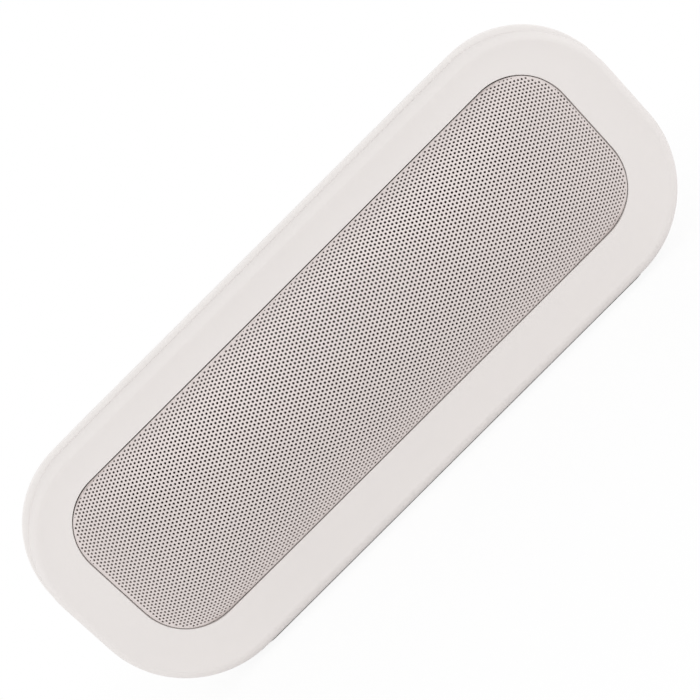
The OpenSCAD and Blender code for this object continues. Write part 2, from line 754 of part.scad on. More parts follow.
module rear_case() {
    color(case_colour) difference() {
        union() {
            translate([0, 0, case_z]) {
                case_shell();
                case_bosses();
            }
            board_post_places() translate([0, 0, foot_top_z]) cylinder(d = post_d, h = board_z - foot_top_z);
            key_post_places() translate([0, 0, key_board_top_z])
                cylinder(d = post_d, h = ceiling_z + overcut - key_board_top_z);
            cradle_screw_places() translate([0, inner_back_y - small_screw_len, 0])
                upright() cylinder(d = post_d, h = small_screw_len + overcut);
        }
        for (p = boss_places) translate([p[0], baffle_back_y - overcut, case_z + p[1]])
            upright() cylinder(d = pilot_d, h = pilot_depth + overcut);
        for (p = mid_boss_places) translate([p[0], baffle_back_y - overcut, case_z + p[1]])
            upright() cylinder(d = pilot_d, h = pilot_depth + overcut);
        board_post_places() translate([0, 0, board_z - small_screw_len])
            cylinder(d = small_pilot_d, h = small_screw_len + overcut);
        key_post_places() translate([0, 0, key_board_top_z - overcut])
            cylinder(d = small_pilot_d, h = small_screw_len + overcut - board_t);
        cradle_screw_places() translate([0, inner_back_y - small_screw_len - overcut, 0])
            upright() cylinder(d = small_pilot_d, h = small_screw_len + overcut);
        for (x = key_xs) translate([x, key_y, ceiling_z - overcut])
            obround(key_len + 2 * key_gap, key_w + 2 * key_gap, case_wall + 2 * overcut);
        translate([guide_x, key_y, ceiling_z - overcut])
            cylinder(d = guide_d + fit_gap, h = case_wall + 2 * overcut);
        foot_block(foot_drop - overcut, foot_top_z);
        translate([0, 0, port_recess_z])
            slab(port_recess_len, port_recess_h, port_recess_h / 2 - fit_gap, socket_face_y, back_y + overcut);
        translate([usb_x, inner_back_y - overcut, usb_z]) upright()
            linear_extrude(case_wall + 2 * overcut)
                rounded_outline(usb_w + 2 * fit_gap, usb_h + 2 * fit_gap, usb_h / 2);
        translate([audio_x, inner_back_y - overcut, audio_z])
            upright() cylinder(d = audio_collar_d + 2 * fit_gap, h = case_wall + 2 * overcut);
    }
}

module foot_block(low, high) {
    translate([0, foot_y, low]) linear_extrude(high - low) rounded_outline(foot_len, foot_w, foot_corner_r);
}

module foot() {
    grooves = floor((foot_w / 2 - foot_corner_r) / groove_pitch);
    color(foot_colour) difference() {
        foot_block(0, foot_top_z);
        for (i = [-grooves:grooves]) translate([0, foot_y + i * groove_pitch, -overcut])
            obround(foot_len - 2 * foot_corner_r, groove_w, groove_depth + overcut);
    }
}

// A driver's pieces turn about its axis, with the depth counted from the back of the baffle
module at_driver(side) {
    translate([side * driver_x, baffle_back_y, grille_z]) upright() children();
}

module driver_screw_places() {
    for (turn = [0:90:270]) rotate([0, 0, turn + screw_turn])
        translate([screw_circle_d / 2, 0, 0]) children();
}

module ring(outer_r, inner_r, front, back) {
    translate([0, 0, front]) difference() {
        cylinder(r = outer_r, h = back - front);
        translate([0, 0, -overcut]) cylinder(r = inner_r, h = back - front + 2 * overcut);
    }
}

module basket(side) {
    rim_r = surround_outer_r;
    floor_r = basket_floor_d / 2;
    seat_r = floor_r + basket_wall;
    color(inner_colour) at_driver(side) difference() {
        union() {
            rotate_extrude() polygon([
                [rim_r, flange_front], [flange_d / 2, flange_front], [flange_d / 2, flange_back],
                [rim_r + basket_wall, flange_back], [seat_r + basket_wall, spider_seat + basket_wall / 2],
                [floor_r, basket_floor], [floor_r, top_plate_front],
                [basket_hub_r, top_plate_front], [basket_hub_r, basket_floor],
                [floor_r - basket_wall, basket_floor], [floor_r - basket_wall, spider_seat],
                [seat_r, spider_seat], [rim_r, flange_back]]);
            rotate([0, 0, -90]) translate([rim_r + basket_wall / 2, -terminal_w / 2, flange_front])
                cube([flange_d / 2 + terminal_reach - rim_r - basket_wall / 2, terminal_w, flange_t]);
        }
        for (turn = [0:90:270]) rotate([0, 0, turn])
            translate([floor_r - basket_wall - overcut, -window_w / 2, flange_back + basket_wall])
                cube([flange_d / 2, window_w, spider_seat - flange_back - 1.5 * basket_wall]);
        driver_screw_places() translate([0, 0, flange_front - overcut])
            cylinder(d = flange_hole_d, h = flange_t + 2 * overcut);
    }
}

module gasket(side) {
    color(rubber_colour) at_driver(side) difference() {
        ring(flange_d / 2, surround_outer_r + lip_w + fit_gap, 0, gasket_t);
        driver_screw_places() translate([0, 0, -overcut])
            cylinder(d = flange_hole_d, h = gasket_t + 2 * overcut);
    }
}

module top_plate(side) {
    color(steel_colour) at_driver(side) ring(plate_d / 2, top_plate_hole_r, top_plate_front, magnet_front);
}

module magnet(side) {
    color(ferrite_colour) at_driver(side) ring(magnet_d / 2, magnet_hole_d / 2, magnet_front, yoke_front);
}

module yoke(side) {
    color(steel_colour) at_driver(side) {
        translate([0, 0, yoke_front]) cylinder(d = plate_d, h = yoke_t);
        translate([0, 0, top_plate_front]) cylinder(d = pole_d, h = yoke_back - top_plate_front);
    }
}

module voice_coil(side) {
    color(copper_colour) at_driver(side) rotate_extrude() polygon([
        [former_inner_r, cone_neck - cone_t], [former_outer_r, cone_neck - cone_t],
        [former_outer_r, winding_back - winding_len], [winding_r, winding_back - winding_len],
        [winding_r, winding_back], [former_inner_r, winding_back]]);
}

module cone(side) {
    color(paper_colour) at_driver(side) rotate_extrude() polygon([
        [cone_neck_r, cone_neck], [cone_r, cone_edge], [cone_r, cone_edge + cone_t],
        [cone_neck_r, cone_neck + cone_t * 1.2]]);
}

// Depth of the cone's front at a radius
function cone_front(r) = cone_edge + (cone_r - r) / (cone_r - cone_neck_r) * cone_depth;

module dust_cap(side) {
    base_r = dust_cap_d / 2;
    bulge_r = (base_r * base_r + dust_cap_h * dust_cap_h) / (2 * dust_cap_h);
    base = cone_front(base_r);
    color(paper_colour) at_driver(side) rotate_extrude() intersection() {
        translate([0, base - dust_cap_h + bulge_r]) difference() {
            circle(bulge_r);
            circle(bulge_r - cone_t);
        }
        translate([0, base - dust_cap_h - overcut]) square([base_r, dust_cap_h + overcut]);
    }
}

// Half a round roll between two flat lips, with its crown towards the front
module roll_profile(inner, outer, base, wall, inner_lip, outer_lip) {
    mid = (inner + outer) / 2;
    outer_r = (outer - inner) / 2;
    translate([inner - inner_lip, base - wall]) square([inner_lip + wall, wall]);
    translate([outer - wall, base - wall]) square([outer_lip + wall, wall]);
    intersection() {
        translate([mid, base - wall]) difference() {
            circle(outer_r);
            circle(outer_r - wall);
        }
        translate([inner, base - wall - outer_r]) square([outer - inner, outer_r]);
    }
}

module surround(side) {
    color(rubber_colour) at_driver(side) rotate_extrude()
        roll_profile(cone_r, surround_outer_r, flange_front, surround_t, lip_w, lip_w);
}

module spider(side) {
    waves = 3;
    wave = 0.8;
    wall = 0.4;
    inner = former_outer_r;
    outer = basket_floor_d / 2 - basket_wall;
    step = (outer - inner) / (2 * waves);
    edge = outer + basket_wall;
    crest = [for (i = [0:2 * waves]) [inner + i * step, spider_seat - wall - (i % 2) * wave]];
    trough = [for (i = [2 * waves:-1:0]) [inner + i * step, spider_seat - (i % 2) * wave]];
    color(spider_colour) at_driver(side) rotate_extrude()
        polygon(concat(crest, [[edge, spider_seat - wall], [edge, spider_seat]], trough));
}

module radiator_frame() {
    color(inner_colour) translate([0, baffle_back_y, grille_z]) difference() {
        slab(frame_len, frame_h, radiator_corner_r + (frame_h - radiator_h) / 2, roll_t, roll_t + frame_t);
        slab(radiator_len, radiator_h, radiator_corner_r, 0, roll_t + frame_t + overcut);
    }
}

module radiator_surround() {
    lip = (frame_h - radiator_h) / 2 - fit_gap;
    color(rubber_colour) translate([0, baffle_back_y, grille_z])
        round_the_edge(radiator_len, radiator_h, radiator_corner_r)
            roll_profile(roll_inner, roll_outer, roll_t, roll_t, lip_w, lip);
}

module radiator_plate() {
    color(inner_colour) translate([0, baffle_back_y, grille_z])
        slab(radiator_plate_len, radiator_plate_h, roll_inner, roll_t, roll_t + plate_t);
}

module radiator_weight() {
    color(steel_colour) translate([0, baffle_back_y, grille_z])
        slab(weight_len, weight_h, weight_h / 4, roll_t + plate_t, roll_t + plate_t + weight_t);
}

module cell(z) {
    color(cell_colour) translate([-cell_len / 2, cell_y, z]) rotate([0, 90, 0]) {
        cylinder(d = cell_d, h = cell_len);
        translate([0, 0, cell_len]) cylinder(d = nub_d, h = nub_h);
    }
}

// The outline of both cells together, with a margin
module pair_of_cells(len, margin) {
    r = cell_d / 2 + margin;
    translate([-len / 2, cell_y, pair_z]) rotate([0, 90, 0]) {
        for (s = [-1, 1]) translate([s * cell_d / 2, 0, 0]) cylinder(r = r, h = len);
        translate([-cell_d / 2, -r, 0]) cube([cell_d, 2 * r, len]);
    }
}

module battery_sleeve() {
    color(cell_colour) difference() {
        pair_of_cells(cell_len, sleeve_t);
        pair_of_cells(cell_len + 2 * overcut, 0);
    }
}

module battery_cradle() {
    ear_front_y = inner_back_y - small_screw_len - cradle_ear_t;
    color(inner_colour) difference() {
        union() {
            translate([-cradle_len / 2, inner_back_y - cradle_depth, pair_z - cradle_h / 2])
                cube([cradle_len, cradle_depth, cradle_h]);
            translate([-cradle_ear_len / 2, ear_front_y, pair_z - cradle_ear_h / 2])
                cube([cradle_ear_len, cradle_ear_t, cradle_ear_h]);
        }
        pair_of_cells(cradle_len + cradle_ear_len, sleeve_t + fit_gap / 4);
        cradle_screw_places() upright()
            cylinder(d = small_screw_d + fit_gap, h = inner_back_y + overcut);
    }
}

module main_board() {
    color(board_colour) difference() {
        translate([-board_len / 2, board_back_y - board_w, board_z]) cube([board_len, board_w, board_t]);
        board_post_places() translate([0, 0, board_z - overcut])
            cylinder(d = small_screw_d + fit_gap, h = board_t + 2 * overcut);
    }
}

// Moves a part to its place on the main board
module on_board(place) {
    translate([place[0] * board_len, board_y + place[1] * board_w, board_top_z]) children();
}

// A block that stands on its place
module block(len, w, h) {
    translate([-len / 2, -w / 2, 0]) cube([len, w, h]);
}

module board_chips() {
    color(chip_colour) for (chip = chips) on_board(chip) block(chip[2], chip[3], chip_h);
}

module radio_module() {
    color(steel_colour) on_board([radio_share, 0]) block(radio_len, radio_w, radio_h);
}

module coils() {
    color(ferrite_colour) for (place = coil_places) on_board(place) block(coil_side, coil_side, coil_h);
}

module capacitors() {
    color(can_colour) for (place = can_places) on_board(place) cylinder(d = can_d, h = can_h);
}

module board_plugs() {
    color(plug_colour) for (x = plug_xs) translate([x, plug_y, board_top_z]) block(plug_len, plug_w, plug_h);
}

module charging_socket() {
    tongue = [6.6, 4.5, 0.7];
    front = socket_face_y - usb_len;
    color(steel_colour) translate([usb_x, front, usb_z]) {
        difference() {
            slab(usb_w, usb_h, usb_h / 2 - usb_sheet / 2, 0, usb_len);
            slab(usb_w - 2 * usb_sheet, usb_h - 2 * usb_sheet, usb_h / 2 - 1.5 * usb_sheet,
                2 * usb_sheet, usb_len + overcut);
        }
        translate([-tongue[0] / 2, usb_sheet, -tongue[2] / 2]) cube([tongue[0], usb_sheet + tongue[1], tongue[2]]);
    }
}

module audio_socket() {
    body_back = inner_back_y - fit_gap;
    end_wall = 1;
    body_len = audio_bore_len + end_wall - (socket_face_y - body_back);
    color(inner_colour) translate([audio_x, 0, audio_z]) difference() {
        union() {
            translate([-audio_body_w / 2, body_back - body_len, -audio_body_h / 2])
                cube([audio_body_w, body_len, audio_body_h]);
            translate([0, body_back - overcut, 0]) upright()
                cylinder(d = audio_collar_d, h = socket_face_y - body_back + overcut);
        }
        translate([0, socket_face_y - audio_bore_len, 0]) upright()
            cylinder(d = audio_bore_d, h = audio_bore_len + overcut);
    }
}

module key_board() {
    color(board_colour) difference() {
        translate([-key_board_len / 2, key_y - key_board_w / 2, key_board_z])
            cube([key_board_len, key_board_w, board_t]);
        key_post_places() translate([0, 0, key_board_z - overcut])
            cylinder(d = small_screw_d + fit_gap, h = board_t + 2 * overcut);
    }
}

module snap_domes() {
    base_r = dome_d / 2;
    bulge_r = (base_r * base_r + dome_h * dome_h) / (2 * dome_h);
    color(steel_colour) for (x = key_xs) translate([x, key_y, key_board_top_z]) rotate_extrude() intersection() {
        translate([0, dome_h - bulge_r]) difference() {
            circle(bulge_r);
            circle(bulge_r - dome_t);
        }
        square([base_r, dome_h]);
    }
}

module status_lamp() {
    color(lens_colour) translate([guide_x, key_y, key_board_top_z]) block(2 * lamp_h, 2 * lamp_h, lamp_h);
}

module light_guide() {
    color(lens_colour) translate([guide_x, key_y, 0]) {
        translate([0, 0, key_board_top_z + lamp_h + fit_gap])
            cylinder(d = guide_d, h = case_top_z - key_board_top_z - lamp_h - fit_gap);
        translate([0, 0, ceiling_z - guide_flange]) cylinder(d = guide_d + 2 * guide_flange, h = guide_flange);
    }
}

module key_cap(i) {
    color(case_colour) translate([key_xs[i], key_y, 0]) {
        translate([0, 0, key_rim_top_z - key_rim_t]) obround(key_len, key_w, case_top_z - key_rim_top_z + key_rim_t);
        translate([0, 0, key_rim_top_z - key_rim_t])
            obround(key_len + 2 * key_rim, key_w + 2 * key_rim, key_rim_t);
        translate([0, 0, key_stem_z]) cylinder(d = key_stem_d, h = key_stem_len + key_rim_t / 2);
    }
}

// A screw that stands on its tip and points down, with its head's underside at the origin
module screw(d, len, head_d, head_h) {
    slot_d = head_d / 2;
    translate([0, 0, -len]) cylinder(d = d, h = len + head_h / 2);
    difference() {
        cylinder(d = head_d, h = head_h);
        translate([0, 0, head_h / 2]) cylinder(d = slot_d, h = head_h, $fn = 6);
    }
}

module case_screws() {
    color(steel_colour) for (p = concat(boss_places, mid_boss_places)) translate([p[0], baffle_y, case_z + p[1]])
        rotate([90, 0, 0]) screw(pilot_d, case_screw_len, case_screw_head_d, case_screw_head_h);
}

module driver_screws() {
    color(steel_colour) for (side = [-1, 1]) at_driver(side) translate([0, 0, flange_back])
        driver_screw_places() screw(small_pilot_d, driver_screw_len, driver_screw_head_d, small_screw_head_h);
}

module board_screws() {
    color(steel_colour) {
        board_post_places() translate([0, 0, board_top_z])
            screw(small_pilot_d, small_screw_len - fit_gap, small_screw_head_d, small_screw_head_h);
        key_post_places() translate([0, 0, key_board_z]) rotate([180, 0, 0])
            screw(small_pilot_d, small_screw_len - fit_gap, small_screw_head_d, small_screw_head_h);
        cradle_screw_places() translate([0, inner_back_y - small_screw_len - cradle_ear_t, 0])
            rotate([90, 0, 0])
                screw(small_pilot_d, small_screw_len - fit_gap, small_screw_head_d, small_screw_head_h);
    }
}

function unit(v) = v / norm(v);

// Points on a smooth curve through hand-set points
function blend(a, b, c, d, t) = 0.5 * ((2 * b) + (c - a) * t + (2 * a - 5 * b + 4 * c - d) * t * t
    + (3 * b - a - 3 * c + d) * t * t * t);

function route(points, steps) = let (n = len(points)) concat(
    [for (i = [0:n - 2], k = [0:steps - 1])
        blend(points[max(i - 1, 0)], points[i], points[i + 1], points[min(i + 2, n - 1)], k / steps)],
    [points[n - 1]]);

// A tube with flat sides along a route
module lead(points, d) {
    path = route(points, 4);
    n = len(path);
    rings = [for (i = [0:n - 1]) let (
        along = i == 0 ? unit(points[1] - points[0])
            : i == n - 1 ? unit(points[len(points) - 1] - points[len(points) - 2])
            : unit(path[i + 1] - path[i - 1]),
        helper = abs(along[0]) < 0.9 ? [1, 0, 0] : [0, 0, 1],
        u = unit(cross(along, helper)),
        v = cross(along, u))
        for (k = [0:lead_sides - 1]) path[i]
            + d / 2 * (cos(360 * k / lead_sides) * u + sin(360 * k / lead_sides) * v)];
    sides = [for (i = [0:n - 2], k = [0:lead_sides - 1]) let (next = (k + 1) % lead_sides)
        [i * lead_sides + k, (i + 1) * lead_sides + k, (i + 1) * lead_sides + next, i * lead_sides + next]];
    caps = [[for (k = [0:lead_sides - 1]) k], [for (k = [lead_sides - 1:-1:0]) (n - 1) * lead_sides + k]];
    polyhedron(points = rings, faces = concat(sides, caps), convexity = 4);
}

// A lead from a driver's terminals to its plug
module driver_lead(side, plug_x) {
    color(red_lead_colour) lead([
        [side * driver_x, baffle_back_y + flange_back, terminal_z],
        [side * driver_x, baffle_back_y + flange_back + lead_run, terminal_z],
        [side * driver_x - side * (lead_run + lead_swing), plug_y - lead_swing, plug_top_z + lead_run],
        [plug_x, plug_y, plug_top_z + lead_run],
        [plug_x, plug_y, plug_top_z]], lead_d);
}

module battery_lead() {
    end_x = cell_len / 2 + nub_h;
    color(chip_colour) lead([
        [end_x, cell_y, cell_z[0]],
        [end_x + lead_swing, cell_y, cell_z[0]],
        [end_x + lead_swing, cell_y - lead_run, cell_z[0] - lead_run],
        [end_x - lead_run, cell_y - 2 * lead_run - lead_swing, cell_z[0] - 2 * lead_run],
        [plug_xs[1], plug_y, plug_top_z + lead_run],
        [plug_xs[1], plug_y, plug_top_z]], lead_d);
}

module key_lead() {
    x = plug_xs[3];
    y = key_y - lead_swing;
    color(plug_colour) lead([
        [x, y, key_board_z],
        [x, y, key_board_z - lead_run],
        [x - lead_swing, y, cell_z[1]],
        [x - lead_swing, y - lead_swing, pair_z],
        [x - lead_swing, y - lead_swing, cell_z[0]],
        [x, plug_y, plug_top_z + lead_run],
        [x, plug_y, plug_top_z]], lead_d);
}

front_bezel();
grille();
grille_cloth();
baffle();
baffle_seal();
rear_case();
foot();
basket(-1);  // left_basket
basket(1);  // right_basket
gasket(-1);  // left_gasket
gasket(1);  // right_gasket
top_plate(-1);  // left_top_plate
top_plate(1);  // right_top_plate
magnet(-1);  // left_magnet
magnet(1);  // right_magnet
yoke(-1);  // left_yoke
yoke(1);  // right_yoke
voice_coil(-1);  // left_voice_coil
voice_coil(1);  // right_voice_coil
cone(-1);  // left_cone
cone(1);  // right_cone
dust_cap(-1);  // left_dust_cap
dust_cap(1);  // right_dust_cap
surround(-1);  // left_surround
surround(1);  // right_surround
spider(-1);  // left_spider
spider(1);  // right_spider
radiator_frame();
radiator_surround();
radiator_plate();
radiator_weight();
cell(cell_z[0]);  // lower_cell
cell(cell_z[1]);  // upper_cell
battery_sleeve();
battery_cradle();
main_board();
board_chips();
radio_module();
coils();
capacitors();
board_plugs();
charging_socket();
audio_socket();
key_board();
snap_domes();
status_lamp();
light_guide();
key_cap(0);  // power_key
key_cap(1);  // minus_key
key_cap(2);  // play_key
key_cap(3);  // plus_key
key_cap(4);  // pair_key
case_screws();
driver_screws();
board_screws();
driver_lead(-1, plug_xs[0]);  // left_lead
driver_lead(1, plug_xs[2]);  // right_lead
battery_lead();
key_lead();
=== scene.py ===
"""Looks of a portable wireless speaker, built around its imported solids.

Lengths in the tables below are in millimetres and become metres where a mesh is made. X runs along the speaker,
its front looks towards -Y and Z is up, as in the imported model.
"""
import json

import bpy
import numpy as np
from mathutils import Matrix, Vector


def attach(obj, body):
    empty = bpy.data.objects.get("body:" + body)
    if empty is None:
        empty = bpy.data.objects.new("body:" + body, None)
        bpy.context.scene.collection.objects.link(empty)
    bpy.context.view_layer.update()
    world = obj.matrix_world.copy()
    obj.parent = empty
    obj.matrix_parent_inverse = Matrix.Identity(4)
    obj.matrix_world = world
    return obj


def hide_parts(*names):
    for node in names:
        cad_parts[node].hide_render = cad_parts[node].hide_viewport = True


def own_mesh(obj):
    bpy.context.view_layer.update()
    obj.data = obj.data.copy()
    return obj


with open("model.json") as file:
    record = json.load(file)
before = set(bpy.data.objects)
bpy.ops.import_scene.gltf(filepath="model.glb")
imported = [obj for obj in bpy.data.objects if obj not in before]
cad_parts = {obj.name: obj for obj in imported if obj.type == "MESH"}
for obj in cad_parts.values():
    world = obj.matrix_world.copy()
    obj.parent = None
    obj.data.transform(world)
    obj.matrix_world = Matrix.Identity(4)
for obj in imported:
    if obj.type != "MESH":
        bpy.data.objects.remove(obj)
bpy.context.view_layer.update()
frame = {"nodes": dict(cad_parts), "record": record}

MM = 0.001

# Places and sizes that the solids have too
CASE_LEN, CASE_H, CASE_R, CASE_WALL = 208.0, 79.4, 29.5, 2.4
CASE_FRONT_R, CASE_BACK_R = 0.5, 10.0
FOOT_DROP = 1.4
CASE_Z = FOOT_DROP + CASE_H / 2
CASE_TOP = FOOT_DROP + CASE_H
BEZEL_LEN, BEZEL_H, BEZEL_R = 206.8, 77.7, 30.5
BEZEL_Z = CASE_Z - 0.95
BEZEL_EDGE_R, BEZEL_CREST, BEZEL_SIDE, BEZEL_WALL, BEZEL_FACE = 4.5, 3.2, 0.4, 2.6, 2.0
DISH_DEPTH, DISH_RUN = 0.65, 5.6
OPENING_LEN, OPENING_H, OPENING_R, OPENING_WALL = 177.8, 51.9, 16.2, 1.4
GRILLE_Z = CASE_Z + 1.15
CROWN_Y = -30.0
LIP_Y = CROWN_Y + 4.6
RIM_Y = LIP_Y - DISH_DEPTH
SEAM_Y = RIM_Y + BEZEL_EDGE_R + BEZEL_SIDE
CASE_FRONT_Y = SEAM_Y + 0.3
BAFFLE_Y = CROWN_Y + 10.4
BAFFLE_BACK_Y = BAFFLE_Y + 3.0
LEDGE_Y = BAFFLE_BACK_Y + 0.8
BACK_Y = 30.0
GRILLE_GAP = 0.28
SEAM = 0.1
EDGE_DROP = 4.9
SHEET = 0.6
TONGUE_INSET, TONGUE_WALL, TONGUE_END_Y = CASE_WALL + 0.2, 1.4, LEDGE_Y - 1.6
INNER_BACK_Y = BACK_Y - CASE_WALL
FLOOR_Z, CEILING_Z = FOOT_DROP + CASE_WALL, CASE_TOP - CASE_WALL
KEY_LEN, KEY_W, KEY_GAP, KEY_Y = 13.0, 7.0, 0.3, 3.0
KEY_XS = {"power": -36.0, "minus": -18.0, "play": 0.0, "plus": 18.0, "pair": 36.0}
GUIDE_X, GUIDE_HOLE_D = -48.5, 2.6
FOOT_LEN, FOOT_W, FOOT_R, FOOT_TOP_Z = 152.0, 36.0, 5.0, FOOT_DROP + 0.8
FOOT_Y = CASE_FRONT_Y + 0.8 + FOOT_W / 2
PORT_LEN, PORT_H, PORT_Z, PORT_FACE_Y = 46.0, 11.0, 17.075, BACK_Y - 1.2
USB_X, USB_Z, USB_LEN, USB_H = -14.0, 16.65, 9.3, 3.7
AUDIO_X, AUDIO_Z, AUDIO_D = 14.0, 17.5, 6.4
LEDGE_W, LEDGE_T = 3.2, 2.0
BOSS_X, BOSS_Z, MID_BOSS_Z = CASE_LEN / 2 - 13.0, CASE_H / 2 - 17.8, CASE_H / 2 - 8.3
BOSS_D, BOSS_BORE_D, BOSS_BORE_DEPTH, MID_BOSS_LEN = 7.0, 2.5, 9.0, 12.0
WEB_H, WEB_R, WEB_OFFSET = 5.0, 0.6, 5.2
POST_D, POST_BORE_D, POST_BORE_DEPTH = 5.0, 1.6, 6.0
BOARD_POST_X, BOARD_POST_YS, BOARD_Z = 40.0, (4.0, 20.0), 13.4
KEY_POST_X, KEY_BOARD_TOP_Z = 57.0, 74.2
CRADLE_POST_X, CRADLE_Z = 39.5, 47.3
FOOT_EDGE_R, GROOVE_W, GROOVE_DEPTH, GROOVE_YS = 1.2, 1.4, 0.6, (-7.0, 0.0, 7.0)
KEY_EDGE_R, KEY_RECESS, KEY_RIM_W, KEY_RIM_T, KEY_STEM_R = 0.6, 0.12, 1.0, 1.0, 1.5
SIGN_W, SIGN_SINK, SIGN_TOP = 0.42, 0.1, 0.02
DOME_R, DOME_H, DOME_T = 3.5, 1.0, 0.2


# Meshes

def make_piece(name, points, faces, body, slot, material, replaced=(), crease=35.0):
    """A mesh from points in millimetres and a list of faces, shaded smooth except where faces meet at a crease."""
    mesh = bpy.data.meshes.new(name)
    mesh.from_pydata((np.asarray(points) * MM).tolist(), [], [tuple(f) for f in faces])
    mesh.validate()
    mesh.update()
    piece = bpy.data.objects.new(name, mesh)
    bpy.context.collection.objects.link(piece)
    finish_piece(piece, body, material, replaced, crease)
    return piece


def finish_piece(piece, body, material, replaced, crease):
    """Sets the shading, the material, the body that the piece rides on and the nodes that it stands for."""
    mesh = piece.data
    mesh.polygons.foreach_set("use_smooth", np.ones(len(mesh.polygons), bool))
    mesh.set_sharp_from_angle(angle=np.radians(crease))
    mesh.materials.clear()
    mesh.materials.append(material)
    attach(piece, body)
    if replaced:
        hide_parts(*replaced)


def outline(length, height, radius, per_arc=28, guard=0.4):
    """A rounded rectangle as (x, z) points and outward directions, anticlockwise.

    Each corner is centre + radius * (cos a, sin a), and the straight sides get a point near each of their ends, so
    that smooth shading stays flat along them.
    """
    centres = np.array([[1, 1], [-1, 1], [-1, -1], [1, -1]]) * (np.array([length, height]) / 2 - radius)
    turns = np.radians(np.linspace(0, 90, per_arc + 1)[None, :] + 90 * np.arange(4)[:, None])
    out = np.stack([np.cos(turns), np.sin(turns)], axis=-1)
    arcs = centres[:, None, :] + radius * out
    before = arcs[:, :1] + guard * np.stack([out[:, :1, 1], -out[:, :1, 0]], axis=-1)
    after = arcs[:, -1:] + guard * np.stack([-out[:, -1:, 1], out[:, -1:, 0]], axis=-1)
    points = np.concatenate([before, arcs, after], axis=1).reshape(-1, 2)
    outward = np.concatenate([out[:, :1], out, out[:, -1:]], axis=1).reshape(-1, 2)
    return points, outward


def obround(length, width, per_end=24, guard=0.3):
    """A slot with round ends, like outline(): each end is centre + width / 2 * (cos a, sin a) over half a turn."""
    turns = np.radians(np.linspace(-90, 90, per_end + 1)[None, :] + 180 * np.arange(2)[:, None])
    out = np.stack([np.cos(turns), np.sin(turns)], axis=-1)
    along = np.stack([-out[..., 1], out[..., 0]], axis=-1)
    arcs = width / 2 * out + np.array([[[1.0, 0.0]], [[-1.0, 0.0]]]) * (length - width) / 2
    points = np.concatenate([arcs[:, :1] - guard * along[:, :1], arcs, arcs[:, -1:] + guard * along[:, -1:]], axis=1)
    outward = np.concatenate([out[:, :1], out, out[:, -1:]], axis=1)
    return points.reshape(-1, 2), outward.reshape(-1, 2)


def circle(radius=0.0, steps=32):
    """A circle like outline(): radius * (cos a, sin a). With no radius, the first number of each row is one."""
    turns = np.radians(np.arange(steps) * 360 / steps)
    outward = np.stack([np.cos(turns), np.sin(turns)], axis=-1)
    return radius * outward, outward


def strip_faces(rows, columns, first=0, close_rows=False):
    """Four-sided faces between neighbouring rows of a grid whose columns go round, seen from outside."""
    i = np.arange(rows if close_rows else rows - 1)[:, None]
    j = np.arange(columns)[None, :]
    here, up = i * columns, ((i + 1) % rows) * columns
    side = (j + 1) % columns
    return (first + np.stack([here + j, up + j, up + side, here + side], axis=-1).reshape(-1, 4)).tolist()


def standing(points, outward, rows, centre_z, centre_x=0.0):
    """Rows of an outline: each row is the outline moved out by its first number, at the depth of its second."""
    rows = np.asarray(rows, float)
    flat = points[None] + rows[:, :1, None] * outward[None]
    return np.concatenate([flat[..., :1] + centre_x, np.broadcast_to(rows[:, 1, None, None], flat.shape[:2] + (1,)),
                           flat[..., 1:] + centre_z], axis=-1)


def lying(points, outward, rows, centre=(0.0, 0.0)):
    """Rows of a flat outline from the top down: moved out by the first number, at the height of the second."""
    rows = np.asarray(rows, float)
    flat = points[None] + rows[:, :1, None] * outward[None] + np.asarray(centre, float)
    return np.concatenate([flat, np.broadcast_to(rows[:, 1, None, None], flat.shape[:2] + (1,))], axis=-1)


def quarter(start, end, steps, radius, centre):
    """Points of an arc in the (offset, depth) plane, from one angle to another in degrees."""
    a = np.radians(np.linspace(start, end, steps + 1))
    return np.stack([centre[0] + radius * np.cos(a), centre[1] + radius * np.sin(a)], axis=-1).tolist()


class Shell:
    """Collects closed surfaces into one list of points and faces."""

    def __init__(self):
        self.points, self.faces, self.count = [], [], 0

    def add(self, points, faces):
        """Adds a surface, whose faces count its own points from 0."""
        points = np.asarray(points, float).reshape(-1, 3)
        self.points.append(points)
        self.faces += [tuple(int(k) + self.count for k in f) for f in faces]
        self.count += len(points)

    def loop(self, grid):
        """A profile that closes on itself, carried round an outline that closes too."""
        rows, columns = grid.shape[:2]
        self.add(grid, strip_faces(rows, columns, close_rows=True))

    def capped(self, grid):
        """A profile carried round an outline, with its first and last rows filled by flat faces."""
        rows, columns = grid.shape[:2]
        caps = [tuple(range(columns)), tuple(range(rows * columns - 1, (rows - 1) * columns - 1, -1))]
        self.add(grid, strip_faces(rows, columns) + caps)

    def all(self):
        return np.concatenate(self.points), self.faces


def ring_rows(outer, inner, front, back):
    """The four corners of a flat ring's section, between two offsets and two depths."""
    return [[outer, front], [outer, back], [inner, back], [inner, front]]


def bored_rows(bore, radius, mouth, bore_end, end):
    """A turned post with a bore: from the bore's end to its mouth, out over the rim and along the outside."""
    return [[bore, bore_end], [bore, mouth], [radius, mouth], [radius, end]]


def cut_out(piece, grids):
    """Takes closed forms out of a piece, one after the other, with an exact Boolean that is applied at once."""
    for grid in grids:
        shell = Shell()
        shell.capped(grid)
        points, faces = shell.all()
        mesh = bpy.data.meshes.new("cutter")
        mesh.from_pydata((points * MM).tolist(), [], faces)
        tool = bpy.data.objects.new("cutter", mesh)
        bpy.context.collection.objects.link(tool)
        cut = piece.modifiers.new("cut", "BOOLEAN")
        cut.operation, cut.solver, cut.object = "DIFFERENCE", "EXACT", tool
        settle(piece)
        bpy.data.objects.remove(tool)
        bpy.data.meshes.remove(mesh)


def settle(piece):
    """Puts a piece's modifiers into its mesh."""
    whole = piece.evaluated_get(bpy.context.evaluated_depsgraph_get())
    done = bpy.data.meshes.new_from_object(whole)
    piece.modifiers.clear()
    piece.data = done


